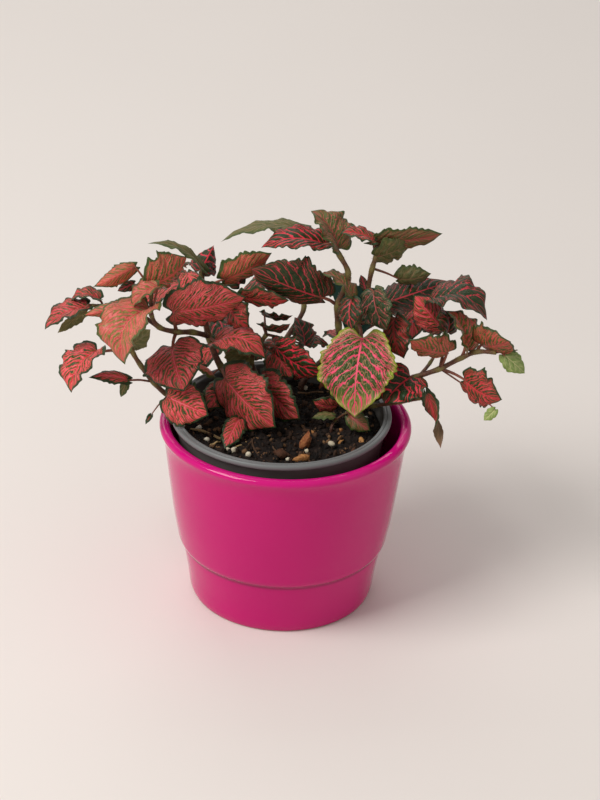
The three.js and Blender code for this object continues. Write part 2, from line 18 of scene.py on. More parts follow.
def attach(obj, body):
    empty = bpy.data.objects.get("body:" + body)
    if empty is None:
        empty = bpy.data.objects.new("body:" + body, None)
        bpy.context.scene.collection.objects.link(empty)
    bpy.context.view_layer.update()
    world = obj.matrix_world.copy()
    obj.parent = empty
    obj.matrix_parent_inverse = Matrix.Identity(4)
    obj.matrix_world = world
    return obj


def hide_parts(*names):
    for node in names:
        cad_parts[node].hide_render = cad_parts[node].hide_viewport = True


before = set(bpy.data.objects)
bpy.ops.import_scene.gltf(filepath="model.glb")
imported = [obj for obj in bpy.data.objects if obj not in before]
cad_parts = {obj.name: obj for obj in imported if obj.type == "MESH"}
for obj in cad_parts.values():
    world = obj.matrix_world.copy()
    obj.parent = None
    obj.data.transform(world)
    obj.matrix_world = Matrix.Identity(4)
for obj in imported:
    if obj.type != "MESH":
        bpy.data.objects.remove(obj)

LOG = logging.getLogger("nerve_plant")
MM = 0.001
BODY = "root"
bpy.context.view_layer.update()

Pair = tuple[float, float]
Triple = tuple[float, float, float]
Colour = Triple  # red, green and blue as seen on a screen, 0 to 255
Points = np.ndarray
Material = bpy.types.Material
Piece = bpy.types.Object


# ---- small maths

def unit(vector: Points) -> Points:
    """Returns the vector, or each row of them, at length one."""
    return vector / np.linalg.norm(vector, axis=-1, keepdims=True)


def smooth(value: Points, low: float, high: float) -> Points:
    """Returns a soft step that is 0 below low and 1 above high."""
    share = np.clip((value - low) / (high - low), 0, 1)
    return share * share * (3 - 2 * share)


def ripple(points: Points, size: float, seed: int) -> Points:
    """Soft noise made of waves that cross at random.

    Args:
        points: places in millimetres, one a row.
        size: width of a typical bump in millimetres.
        seed: seed of the random draw.

    Returns:
        One number from about -1 to 1 for each place.
    """
    draw = np.random.default_rng(seed)
    waves = draw.normal(size=(10, points.shape[-1])) * (1.8 / size)
    turns = draw.uniform(0, 2 * math.pi, 10)
    return np.sin(points @ waves.T + turns).sum(-1) / 4


def smooth_path(nodes: Points, steps: int) -> Points:
    """A smooth line through every node, with its speed evened out by their distances.

    Args:
        nodes: points that the line passes through.
        steps: pieces between two nodes.

    Returns:
        The points of the line.
    """
    ends = [2 * nodes[0] - nodes[1], *nodes, 2 * nodes[-1] - nodes[-2]]
    line = [nodes[0]]
    for before, start, end, after in zip(ends, ends[1:], ends[2:], ends[3:]):
        one, two, three = (np.linalg.norm(q - p) ** 0.5 + 1e-6
                           for p, q in ((before, start), (start, end), (end, after)))
        leave = (start - before) / one - (end - before) / (one + two) + (end - start) / two
        enter = (end - start) / two - (after - start) / (two + three) + (after - end) / three
        for k in range(1, steps + 1):
            t = k / steps
            line.append((2 * t**3 - 3 * t**2 + 1) * start + (3 * t**2 - 2 * t**3) * end
                        + (t**3 - 2 * t**2 + t) * two * leave + (t**3 - t**2) * two * enter)
    return np.array(line)


def length_along(line: Points) -> Points:
    """Returns the distance from the start of a line to each of its points."""
    return np.r_[0, np.cumsum(np.linalg.norm(np.diff(line, axis=0), axis=1))]


def circle(sides: int) -> Points:
    """Returns points spread evenly on a circle of radius one."""
    turn = np.arange(sides) * 2 * math.pi / sides
    return np.stack((np.cos(turn), np.sin(turn)), -1)


# ---- shader maths

def paint(colour: Colour) -> Triple:
    """Turns a colour as seen on a screen into the one that light is worked out with."""
    shares = [part / 255 for part in colour]
    return tuple(s / 12.92 if s <= 0.04045 else ((s + 0.055) / 1.055) ** 2.4 for s in shares)


class Value:
    """One output of a shader node, which sums, products and comparisons can be written with."""

    def __init__(self, graph: "Graph", socket: bpy.types.NodeSocket) -> None:
        """Wraps a socket of a graph."""
        self.graph = graph
        self.socket = socket

    def maths(self, operation: str, *others: "Value | float") -> "Value":
        """Adds one Math node.

        Args:
            operation: name of the operation.
            others: the values after this one.

        Returns:
            The node's output.
        """
        return self.graph.add("ShaderNodeMath", {"operation": operation}, (self, *others))

    def __add__(self, other: "Value | float") -> "Value":
        """Returns the sum."""
        return self.maths("ADD", other)

    __radd__ = __add__

    def __sub__(self, other: "Value | float") -> "Value":
        """Returns the difference."""
        return self.maths("SUBTRACT", other)

    def __rsub__(self, other: float) -> "Value":
        """Returns the difference, with the number on the left."""
        return self.maths("MULTIPLY", -1.0).maths("ADD", other)

    def __mul__(self, other: "Value | float") -> "Value":
        """Returns the product."""
        return self.maths("MULTIPLY", other)

    __rmul__ = __mul__

    def __abs__(self) -> "Value":
        """Returns the size without its sign."""
        return self.maths("ABSOLUTE")

    def least(self, other: "Value | float", blend: float = 0.0) -> "Value":
        """Returns the smaller of two values, rounded off over a blend."""
        return self.maths("SMOOTH_MIN", other, blend) if blend else self.maths("MINIMUM", other)

    def most(self, other: "Value | float") -> "Value":
        """Returns the larger of two values."""
        return self.maths("MAXIMUM", other)

    def fraction(self) -> "Value":
        """Returns what is left above the next lower whole number."""
        return self.maths("FRACT")

    def step(self, low: "Value | float", high: "Value | float") -> "Value":
        """Returns a soft step that is 0 below low and 1 above high."""
        settings = {"interpolation_type": "SMOOTHSTEP"}
        return self.graph.add("ShaderNodeMapRange", settings, (self, low, high, 0.0, 1.0))


class Graph:
    """The node tree of one material, with its shader."""

    def __init__(self, name: str) -> None:
        """Makes a material of that name.

        Args:
            name: the material's name.
        """
        self.material = bpy.data.materials.new(name)
        self.material.use_nodes = True
        self.nodes = self.material.node_tree.nodes
        self.links = self.material.node_tree.links
        self.shader = next(node for node in self.nodes if node.type == "BSDF_PRINCIPLED")

    def join(self, source: Value | float | Colour, target: bpy.types.NodeSocket) -> None:
        """Links a value to a socket, or sets a number or colour on it."""
        if isinstance(source, Value):
            self.links.new(source.socket, target)
        elif isinstance(source, tuple):
            target.default_value = (*paint(source), 1.0)[:len(target.default_value)]
        else:
            target.default_value = source

    def add(self, kind: str, settings: dict, inputs: dict | tuple, output: int | str = 0) -> Value:
        """Adds a node.

        Args:
            kind: the node's type.
            settings: its own settings, set first. "stops" are a ramp's colours at their places.
            inputs: values or links by the name or number of their sockets, or in their order.
            output: name or number of the output that is wanted.

        Returns:
            That output.
        """
        node = self.nodes.new(kind)
        for name, setting in settings.items():
            if name == "stops":
                ramp = node.color_ramp.elements
                while len(ramp) < len(setting):
                    ramp.new(1.0)
                for stop, (place, colour) in zip(ramp, setting):
                    stop.position = place
                    stop.color = (*paint(colour), 1.0)
            else:
                setattr(node, name, setting)
        pairs = inputs.items() if isinstance(inputs, dict) else enumerate(inputs)
        for name, source in pairs:
            self.join(source, node.inputs[name])
        return Value(self, node.outputs[output])

    def blend(self, share: Value | float, first: Value | Colour, second: Value | Colour) -> Value:
        """Returns the first colour where the share is 0 and the second where it is 1."""
        settings = {"data_type": "RGBA", "clamp_factor": True}
        return self.add("ShaderNodeMix", settings, {0: share, 6: first, 7: second}, 2)

    def shade(self, colour: Value | Colour, amount: Value | float) -> Value:
        """Returns a colour or a vector times an amount."""
        return self.add("ShaderNodeVectorMath", {"operation": "SCALE"}, {0: colour, "Scale": amount})

    def part(self, vector: Value, number: int) -> Value:
        """Returns one of a vector's three numbers."""
        return self.add("ShaderNodeSeparateXYZ", {}, (vector,), number)

    def marks(self, name: str) -> list[Value]:
        """Returns the three numbers that a piece keeps at its points under a name."""
        whole = self.add("ShaderNodeAttribute", {"attribute_name": name}, {}, "Vector")
        return [self.part(whole, number) for number in range(3)]

    def place(self) -> Value:
        """Returns where a point lies, in millimetres."""
        metres = self.add("ShaderNodeTexCoord", {}, {}, "Object")
        return self.shade(metres, 1 / MM)

    def vector(self, x: Value | float, y: Value | float, z: Value | float) -> Value:
        """Returns a vector made of three numbers."""
        return self.add("ShaderNodeCombineXYZ", {}, (x, y, z))

    def noise(self, place: Value, scale: float, detail: float = 2.0) -> Value:
        """Returns soft noise, about 0.5 on average."""
        inputs = {"Vector": place, "Scale": scale, "Detail": detail}
        return self.add("ShaderNodeTexNoise", {}, inputs)

    def cell_edge(self, place: Value) -> Value:
        """Returns the distance to the nearest border between cells, which are about 1 wide."""
        inputs = {"Vector": place, "Scale": 1.0, "Randomness": 1.0}
        return self.add("ShaderNodeTexVoronoi", {"feature": "DISTANCE_TO_EDGE"}, inputs, "Distance")

    def finish(self, colour: Value, roughness: Value | float, bump: Value | None = None,
               height: float = 0.0, specular: float = 0.5) -> Material:
        """Joins the results to the shader.

        Args:
            colour: base colour.
            roughness: roughness.
            bump: height map from 0 to 1, where there is one.
            height: how high 1 stands on it, in millimetres.
            specular: strength of its reflections, which is 0.5 on plain plastic.

        Returns:
            The finished material.
        """
        sockets = self.shader.inputs
        self.join(colour, sockets["Base Color"])
        self.join(roughness, sockets["Roughness"])
        self.join(specular, sockets["Specular IOR Level"])
        if bump is not None:
            inputs = {"Height": bump, "Distance": height * MM, "Strength": 1.0}
            self.join(self.add("ShaderNodeBump", {}, inputs, "Normal"), sockets["Normal"])
        return self.material


# ---- the finishes

class Marks(NamedTuple):
    """What a blade keeps at its points for its material, by threes: veins, leaf and place."""

    phase: Value  # grows by one from each side vein to the next
    far: Value  # distance from the midrib in millimetres
    border: Value  # distance from the margin in millimetres
    random: Value  # one number for each leaf, from 0 to 1
    out: Value  # share of the way from the midrib to the margin
    back: Value  # 1 on the underside
    along: Value  # share of the way from the base to the tip
    across: Value  # -1 at one margin and 1 at the other
    gap: Value  # distance between two side veins in millimetres


@dataclass(frozen=True)
class LeafFinish:
    """Colours of a leaf, and its veins with their half widths in millimetres."""

    ground: Colour
    edge: Colour
    vein: Colour
    vein_end: Colour  # of the veins near the margin
    halo: Colour  # round the flush and along the finest veins
    back: Colour
    back_vein: Colour
    slot: str = "lime_foliage"  # name of its finish
    tip: Colour | None = None  # ground near the tip, where it differs
    flush: Colour | None = None  # spreads from the veins, where the leaf has it
    band: Pair = (0.0, 0.0)  # its half widths by midrib and margin, in gaps
    blur: float = 0.03  # softness of its border, in gaps
    uneven: float = 0.13  # by how much it narrows and widens, in gaps
    spread: Pair = (0.36, 0.31)  # how far forks part, in gaps
    bend: Pair = (0.75, 0.55)  # broad and fine wander of the veins, in gaps
    cells: Pair = (2.6, 0.42)  # cells of the net, in a gap and in a millimetre
    margin: float = 1.9  # width of the plain margin
    midrib: float = 0.42
    side_vein: float = 0.24
    fork: float = 0.16
    twig: float = 0.10
    net: float = 0.05
    net_share: float = 0.5  # how strongly the finest net shows
    sheen: float = 0.42  # roughness

    def network(self, graph: Graph, at: Marks) -> tuple[Value, Value, Value]:
        """Works out how far a place is from the veins.

        Args:
            graph: the material's graph.
            at: the marks of the blade.

        Returns:
            Distance in millimetres from the border of the nearest vein, the same for the finest
            net, and the distance from the middle of the flush in gaps.
        """
        # Side veins, forks and twigs, in gaps.
        broad, fine = self.bend
        drift = graph.noise(graph.vector(at.phase * 0.8, at.far * 0.22, at.random * 37), 1.0)
        wave = graph.noise(graph.vector(at.phase * 2.3, at.far * 0.8, at.random * 19 + 3), 1.0)
        bent = at.phase + (drift - 0.5) * broad + (wave - 0.5) * fine
        across = bent.fraction() - 0.5
        side = abs(across)
        one, two = (side, 0.5 - side) if self.flush else (across * -1, across)
        start = (drift - 0.5) * 0.9
        near, late = self.spread
        low = abs(one - near * (at.out + start).step(0.25, 0.85))
        high = abs(two - late * (at.out - start).step(0.48, 1.0))
        twigs = abs(low - 0.13 * (at.out + start).step(0.6, 1.05))

        # In millimetres, thinner towards the margin and where the veins are close together.
        room = at.gap.step(1.2, 4.2)
        thin = (1 - 0.5 * at.out) * (0.5 + 0.5 * room)
        thinner = thin * (1.35 * room - 0.35)
        rib = at.far - self.midrib * (1 - 0.75 * at.along)
        main = rib.least(side * at.gap - self.side_vein * thin, 0.3)
        main = main.least(low.least(high) * at.gap - self.fork * thinner, 0.2)
        main = main.least(twigs * at.gap - self.twig * thinner, 0.12)
        in_gap, in_length = self.cells
        cells = graph.vector(bent * in_gap, at.far * in_length, at.random * 11)
        net = (graph.cell_edge(cells) * at.gap * 0.4 - self.net).least(main)
        return main, net, side.least(low).least(0.5 - side)

    def material(self, name: str) -> Material:
        """Makes the leaf's material from the marks that its blade carries.

        Args:
            name: the material's name.

        Returns:
            The material.
        """
        graph = Graph(name)
        at = Marks(*graph.marks("veins"), *graph.marks("leaf"), *graph.marks("place"))
        main, net, streak = self.network(graph, at)
        place = graph.place()
        cloud = graph.noise(place, 0.3, 3.0)
        patch = graph.noise(graph.vector(at.phase * 1.3, at.far * 0.42, at.random * 23), 1.0, 1.0)
        lines = 1 - main.step(-0.07, 0.09)
        fine = (1 - net.step(-0.03, 0.12)) * self.net_share

        ground = graph.blend((at.border + cloud - 0.5).step(0.5, 3.2), self.edge, self.ground)
        if self.tip:
            ground = graph.blend(at.along.step(0.55, 1.0) * 0.8, ground, self.tip)
        ground = graph.shade(ground, 0.7 + 0.6 * cloud)
        vein = graph.blend(at.border.step(0.6, 4.0), self.vein_end, self.vein)
        reach = at.border - self.margin * (0.5 + 0.8 * main.step(0.0, 0.7) + 0.5 * (patch - 0.5))
        inside = reach.step(-0.2, 0.35)
        colour = graph.blend(fine * inside, ground, graph.blend(0.5, vein, self.halo))
        if self.flush:
            inner, outer = self.band
            width = inner + (outer - inner) * at.out.step(0.2, 0.9) + (patch - 0.5) * self.uneven
            flush = 1 - (streak - width).step(-self.blur, self.blur)
            flush = flush.most(1 - at.far.step(0.6, 1.6)) * inside
            ring = flush * (1 - flush) * 3.2 * (1 - at.out) * inside
            tone = graph.shade(graph.blend(fine, self.flush, self.vein), 0.72 + 0.56 * cloud)
            colour = graph.blend(ring, graph.blend(flush, colour, tone), self.halo)
        colour = graph.blend(lines * inside, colour, graph.shade(vein, 0.85 + 0.3 * cloud))
        shadow = 0.7 + 0.3 * (at.far + at.along * 30).step(0, 5)  # where the stalk meets the blade
        colour = graph.shade(colour, (0.82 + 0.32 * at.random) * shadow)

        under = graph.blend((lines * 0.8).most(fine * 0.6), self.back, self.back_vein)
        colour = graph.blend(at.back, colour, graph.shade(under, 0.75 + 0.5 * cloud))
        grain = graph.noise(place, 3.0, 2.0)
        relief = net.step(-0.1, 0.55) * 0.8 + grain * 0.2
        roughness = self.sheen + 0.16 * (grain - 0.5)
        return graph.finish(colour, roughness, relief, 0.4, specular=0.35)


@dataclass(frozen=True)
class LeafSizes:
    """Sizes that all leaf blades share, in millimetres and shares of the blade."""

    thickness: float = 0.46
    least_thickness: float = 0.12  # at the margin
    point: float = 0.72  # moves the widest place towards the base
    fullness: float = 0.62  # of the outline
    sharp: float = 0.4  # by how much the tip is sharper than that
    lobe: float = 0.15  # how far the base lobes reach back, as a share of the length
    ruffle: float = 0.055  # waves of the margin, as a share of the width
    waves: float = 3.2  # number of waves from base to tip
    crinkle: float = 0.034  # finer waves of the margin, as a share of the width
    crinkles: float = 7.1
    wave_turn: float = math.radians(137.5)  # from each leaf's waves to the next leaf's
    side_turn: float = math.radians(97)  # between the waves of the two margins
    twist_from: float = 0.3  # share of the length at which a twisted leaf is level
    quilt: float = 0.55  # most that the blade rises between two side veins
    quilt_share: float = 0.02  # the same as a share of the width
    dome: float = 0.06  # rise of each half, as a share of the half width
    groove: float = 0.45  # depth over the midrib, and its half width
    groove_width: float = 0.9
    rib: float = 0.6  # height of the midrib underneath, and its half width
    rib_width: float = 0.75
    vein_gap: float = 5.2  # between two side veins at the midrib
    vein_slant: float = 0.52  # how far a side vein leans to the tip, as a share of the length
    tooth: float = 3.6  # length of a tooth of the margin
    tooth_depth: float = 0.13  # as a share of the half width
    deepest_tooth: float = 1.6
    lobing: float = 0.065  # broad lobes of the margin, as a share of the half width
    rows_per_tooth: int = 5
    columns: int = 18  # on each side of the midrib


LEAF = LeafSizes()


@dataclass(frozen=True)
class StemFinish:
    """Skin of stems and leaf stalks, from woody brown-red to green at the nodes."""

    bark: Colour = (100, 68, 48)
    streak: Colour = (68, 42, 34)
    node: Colour = (124, 126, 66)
    stalk: Colour = (150, 84, 64)

    def material(self) -> Material:
        """Makes the material from the marks of a stem: stalk, node and random.

        Returns:
            The material.
        """
        graph = Graph("stem_skin")
        stalk, node, random = graph.marks("stem")
        place = graph.place()
        long = graph.noise(place, 0.55, 3.0)
        speck = graph.noise(place, 2.6, 2.0)
        bark = graph.blend(long.step(0.38, 0.66), self.streak, self.bark)
        bark = graph.blend(node * (0.35 + 0.9 * speck), bark, self.node)
        colour = graph.blend(stalk * (0.55 + 0.4 * random), bark, self.stalk)
        colour = graph.shade(colour, 0.75 + 0.5 * speck)
        return graph.finish(colour, 0.5 + 0.15 * speck, speck, 0.12, specular=0.35)


@dataclass(frozen=True)
class HairFinish:
    """Fine pale hairs of the stems."""

    root: Colour = (150, 130, 108)
    tip: Colour = (205, 196, 178)

    def material(self) -> Material:
        """Makes the material, which is lighter towards the tips of the hairs."""
        graph = Graph("stem_hair")
        return graph.finish(graph.blend(graph.marks("stem")[0], self.root, self.tip), 0.6)


@dataclass(frozen=True)
class GlazeFinish:
    """Glossy magenta glaze over pale clay, which the flat underside leaves bare."""

    glaze: Colour = (200, 0, 110)
    thin: Colour = (214, 24, 130)
    # colour of the painted shade and painted dark reflection at the foot step
    painted_step_shade: Colour = (136, 2, 72)
    clay: Colour = (196, 170, 150)
    bare_below: float = 0.35
    lip: Pair = (99.5, 104.5)  # heights over which the glaze grows thinner
    dark_from: Pair = (29.6, 31.6)  # heights over which the painted shade at the step begins
    dark_to: Pair = (32.2, 34.6)  # and over which the painted shade fades again

    def material(self) -> Material:
        """Makes the glaze with its faint waves and a band of painted shade and painted dark reflection
        at the foot step.

        Returns:
            The material.
        """
        graph = Graph("magenta_glaze")
        place = graph.place()
        pool = graph.noise(place, 0.02, 2.0)
        wave = graph.noise(place, 0.11, 1.0)
        speck = graph.noise(place, 1.7, 2.0)
        height = graph.part(place, 2)
        glaze = graph.blend(height.step(*self.lip) * 0.5, self.glaze, self.thin)
        # painted shade and painted dark reflection: the glaze darkens in a band at the foot step
        painted_step_shade = height.step(*self.dark_from) * (1 - height.step(*self.dark_to)) * 0.75
        glaze = graph.blend(painted_step_shade, glaze, self.painted_step_shade)
        glaze = graph.shade(glaze, 0.93 + 0.14 * pool)
        bare = 1 - height.step(self.bare_below - 0.1, self.bare_below + 0.1)
        clay = graph.shade(self.clay, 0.85 + 0.3 * speck)
        colour = graph.blend(bare, glaze, clay)
        roughness = 0.07 + 0.03 * pool + 0.7 * bare
        relief = wave * 0.9 + speck * bare * 0.1
        return graph.finish(colour, roughness, relief, 0.1, specular=0.36)


@dataclass(frozen=True)
class PlasticFinish:
    """Grey pot plastic: a paler rim, painted lighter as painted light, on a charcoal wall with dusty
    traces of soil.
    """

    wall: Colour = (94, 91, 88)
    # painted light: the rim's colour is paler than the wall's
    rim: Colour = (112, 114, 114)
    dust: Colour = (128, 112, 96)
    rim_from: float = 106.8

    def material(self) -> Material:
        """Makes the plastic.

        Returns:
            The material.
        """
        graph = Graph("grey_plastic")
        place = graph.place()
        height = graph.part(place, 2)
        cloud = graph.noise(place, 0.09, 4.0)
        grain = graph.noise(place, 2.2, 3.0)
        # painted light: the rim is painted paler than the wall below it
        on_rim = height.step(self.rim_from - 0.3, self.rim_from + 0.3)
        plastic = graph.blend(on_rim, self.wall, self.rim)
        plastic = graph.shade(plastic, 0.88 + 0.24 * cloud)
        dusty = grain.step(0.62, 0.78) * cloud.step(0.45, 0.65) * 0.7
        colour = graph.blend(dusty, plastic, self.dust)
        roughness = 0.34 + 0.2 * cloud + 0.25 * dusty
        return graph.finish(colour, roughness, grain, 0.05, specular=0.5)


@dataclass(frozen=True)
class PeatFinish:
    """Dark, moist peat with lighter fibres in it."""

    dark: Colour = (9, 6, 5)
    brown: Colour = (38, 24, 16)
    fibre: Colour = (128, 96, 66)

    def material(self) -> Material:
        """Makes the soil's material.

        Returns:
            The material.
        """
        graph = Graph("peat")
        place = graph.place()
        broad = graph.noise(place, 0.16, 4.0)
        crumbs = graph.noise(place, 0.9, 5.0)
        stretched = graph.vector(*(graph.part(place, k) * size
                                   for k, size in enumerate((0.5, 2.4, 1.0))))
        fibre = graph.noise(stretched, 0.7, 3.0)
        colour = graph.blend((crumbs * 0.6 + broad * 0.5).step(0.42, 0.74), self.dark, self.brown)
        colour = graph.blend(fibre.step(0.66, 0.74) * 0.7, colour, self.fibre)
        roughness = 0.72 + 0.2 * crumbs
        return graph.finish(colour, roughness, crumbs, 0.9, specular=0.3)


@dataclass(frozen=True)
class GrainFinish:
    """Loose bits on the soil, coloured from the tone that each carries."""

    name: str
    stops: tuple[tuple[float, Colour], ...]
    rough: float
    pits: float  # depth of the surface's pits in millimetres
    scale: float  # pits in a millimetre

    def material(self) -> Material:
        """Makes the material of the bits.

        Returns:
            The material.
        """
        graph = Graph(self.name)
        tone = graph.marks("grain")[0]
        spots = graph.noise(graph.place(), self.scale, 4.0)
        shifted = tone + (spots - 0.5) * 0.35
        colour = graph.add("ShaderNodeValToRGB", {"stops": self.stops}, (shifted,))
        colour = graph.shade(colour, 0.7 + 0.6 * spots)
        return graph.finish(colour, self.rough, spots, self.pits, specular=0.3)


@dataclass(frozen=True)
class CardFinish:
    """Satin teal card of the plant label, lightly scuffed."""

    card: Colour = (8, 70, 60)
    worn: Colour = (40, 104, 90)

    def material(self) -> Material:
        """Makes the card's material.

        Returns:
            The material.
        """
        graph = Graph("label_card")
        place = graph.place()
        cloud = graph.noise(place, 0.08, 3.0)
        scuff = graph.noise(place, 1.3, 5.0)
        colour = graph.blend(scuff.step(0.6, 0.8) * 0.5, self.card, self.worn)
        colour = graph.shade(colour, 0.85 + 0.3 * cloud)
        return graph.finish(colour, 0.3 + 0.2 * scuff, scuff, 0.03, specular=0.5)


@dataclass(frozen=True)
class FloorFinish:
    """Plain pale floor."""

    colour: Colour = (233, 226, 220)

    def material(self) -> Material:
        """Makes the floor's material, with a hardly visible unevenness.

        Returns:
            The material.
        """
        graph = Graph("pale_floor")
        cloud = graph.noise(graph.place(), 0.004, 2.0)
        colour = graph.shade(self.colour, 0.985 + 0.03 * cloud)
        return graph.finish(colour, 0.75, specular=0.2)


FINE_VEINS = {
    "cells": (2.9, 0.2), "spread": (0.25, 0.12), "midrib": 0.34, "side_vein": 0.16, "fork": 0.11,
    "twig": 0.07, "net": 0.03, "net_share": 0.3,
}


class Kind(Enum):
    """Colouring of a leaf, with its finish."""

    RUBY = LeafFinish(
        ground=(50, 72, 24), edge=(42, 62, 30), flush=(208, 55, 60),
        vein=(230, 100, 104), vein_end=(216, 66, 72), halo=(150, 118, 58),
        back=(118, 78, 62), back_vein=(168, 104, 92),
        slot="ruby_foliage", band=(0.15, 0.066), margin=2.7, **FINE_VEINS)
    AMBER = LeafFinish(
        ground=(84, 98, 36), edge=(62, 80, 34), flush=(190, 80, 64),
        vein=(212, 98, 84), vein_end=(188, 84, 68), halo=(140, 116, 60),
        back=(112, 96, 58), back_vein=(160, 108, 84),
        slot="ruby_foliage", band=(0.14, 0.06), margin=2.5, **FINE_VEINS)
    DARK = LeafFinish(
        ground=(30, 58, 26), edge=(36, 64, 34),
        vein=(200, 58, 72), vein_end=(178, 56, 62), halo=(70, 66, 36),
        back=(84, 80, 50), back_vein=(130, 92, 70),
        slot="dark_foliage", margin=0.9, midrib=0.5, side_vein=0.25, fork=0.15, twig=0.07,
        net_share=0.16)
    VIVID = LeafFinish(
        ground=(30, 58, 22), edge=(34, 64, 30),
        vein=(236, 52, 74), vein_end=(226, 50, 66), halo=(96, 70, 36),
        back=(84, 80, 50), back_vein=(130, 92, 70),
        slot="dark_foliage", margin=1.0, midrib=0.55, side_vein=0.42, fork=0.3, twig=0.2,
        net_share=0.16)
    LIME = LeafFinish(
        ground=(46, 74, 20), edge=(142, 156, 44),
        vein=(232, 66, 104), vein_end=(232, 150, 140), halo=(150, 166, 84),
        tip=(146, 154, 66), back=(134, 146, 84), back_vein=(190, 150, 120),
        margin=1.5, midrib=0.62, side_vein=0.4, fork=0.22, twig=0.12, net=0.03, net_share=0.55)
    FERN = LeafFinish(
        ground=(40, 70, 36), edge=(56, 86, 48),
        vein=(214, 96, 100), vein_end=(180, 128, 110), halo=(90, 104, 60),
        back=(96, 104, 62), back_vein=(140, 120, 86),
        margin=0.8, midrib=0.32, side_vein=0.2, fork=0.12, twig=0.06, net_share=0.3)
    UNDER = LeafFinish(
        ground=(94, 98, 50), edge=(76, 88, 42),
        vein=(146, 116, 80), vein_end=(124, 114, 68), halo=(120, 110, 70),
        back=(106, 106, 58), back_vein=(146, 126, 84), net_share=0.4, sheen=0.5)
    YOUNG = LeafFinish(
        ground=(130, 152, 80), edge=(140, 160, 86),
        vein=(190, 190, 130), vein_end=(186, 188, 124), halo=(160, 172, 110),
        back=(146, 160, 96), back_vein=(182, 186, 130),
        midrib=0.3, side_vein=0.15, fork=0.1, twig=0.07)
    PALE = LeafFinish(
        ground=(124, 124, 56), edge=(88, 98, 48), flush=(210, 84, 78),
        vein=(232, 118, 108), vein_end=(212, 98, 86), halo=(180, 148, 88),
        back=(132, 92, 72), back_vein=(176, 118, 100),
        slot="ruby_foliage", band=(0.15, 0.07), blur=0.05, spread=(0.25, 0.12), margin=2.4,
        cells=(2.9, 0.2), midrib=0.3, side_vein=0.14, fork=0.1, net=0.03)
    MAROON = LeafFinish(
        ground=(46, 64, 26), edge=(44, 64, 30), flush=(176, 46, 48),
        vein=(204, 72, 72), vein_end=(184, 64, 60), halo=(112, 84, 46),
        back=(104, 86, 56), back_vein=(136, 92, 72),
        slot="maroon_foliage", band=(0.11, 0.045), uneven=0.1, spread=(0.25, 0.12), margin=2.3,
        cells=(2.9, 0.22), midrib=0.3, side_vein=0.16, fork=0.11, net=0.03, net_share=0.3)
    OLIVE = LeafFinish(
        ground=(84, 96, 42), edge=(66, 84, 36), flush=(150, 84, 62),
        vein=(190, 92, 82), vein_end=(156, 96, 68), halo=(120, 106, 58),
        back=(100, 102, 54), back_vein=(142, 118, 78),
        band=(0.05, 0.02), uneven=0.05, midrib=0.34, side_vein=0.2, fork=0.13, twig=0.08,
        net_share=0.3)


RUBY, AMBER, DARK, VIVID, LIME, FERN, UNDER, YOUNG, PALE, MAROON, OLIVE = Kind


# ---- meshes

class Shape:
    """Parts of one piece: their points, faces, materials and the marks that materials read."""

    def __init__(self) -> None:
        """Starts with no parts."""
        self.points: list[Points] = []
        self.faces: list[list[int]] = []
        self.dress: list[int] = []
        self.marks: dict[str, list[Points]] = {}
        self.count = 0

    def add(self, points: Points, faces: Sequence[Points], dress: int = 0,
            **marks: Points) -> None:
        """Adds a part.

        Args:
            points: its points in millimetres, one a row.
            faces: arrays of faces, each array with one number of corners.
            dress: number of the material among those of the piece.
            marks: by name, three numbers or one for each point, or three for all of them.
        """
        for group in faces:
            self.faces += (np.asarray(group) + self.count).tolist()
            self.dress += [dress] * len(group)
        self.points.append(points)
        for name, mark in marks.items():
            full = np.broadcast_to(np.asarray(mark, float), (len(points), 3))
            self.marks.setdefault(name, []).append(full)
        self.count += len(points)

    def piece(self, name: str, materials: Sequence[Material],
              crease: float = 180.0) -> Piece:
        """Makes the object.

        Args:
            name: its name.
            materials: its materials.
            crease: angle in degrees above which an edge stays sharp.

        Returns:
            The object, with its place in its mesh.
        """
        mesh = bpy.data.meshes.new(name)
        mesh.from_pydata((np.concatenate(self.points) * MM).tolist(), [], self.faces)
        mesh.polygons.foreach_set("material_index", self.dress)
        mesh.shade_smooth()
        if crease < 180:
            mesh.set_sharp_from_angle(angle=math.radians(crease))
        for mark, parts in self.marks.items():
            attribute = mesh.attributes.new(mark, "FLOAT_VECTOR", "POINT")
            attribute.data.foreach_set("vector", np.concatenate(parts).ravel())
        for material in materials:
            mesh.materials.append(material)
        mesh.update()
        made = bpy.data.objects.new(name, mesh)
        bpy.context.scene.collection.objects.link(made)
        return made


def grid_faces(rows: int, columns: int, closed: bool = False) -> Points:
    """Faces between rows of points that lie one row after another.

    Args:
        rows: number of rows.
        columns: points in a row.
        closed: whether each row is a ring.

    Returns:
        Quads that face along (next column) x (next row).
    """
    row, column = np.mgrid[0:rows - 1, 0:columns if closed else columns - 1]
    after = (column + 1) % columns
    corners = (row * columns + column, row * columns + after,
               (row + 1) * columns + after, (row + 1) * columns + column)
    return np.stack(corners, -1).reshape(-1, 4)


def ring_faces(rings: int, sides: int) -> list[Points]:
    """Faces of a closed body made of rings, with one end point for each end after them.

    Args:
        rings: number of rings.
        sides: points in a ring.

    Returns:
        The faces between the rings and at the two ends.
    """
    count = rings * sides
    here = np.arange(sides)
    after = (here + 1) % sides
    last = count - sides
    start = np.stack((np.full(sides, count), after, here), -1)
    end = np.stack((np.full(sides, count + 1), here + last, after + last), -1)
    return [grid_faces(rings, sides, True), start, end]


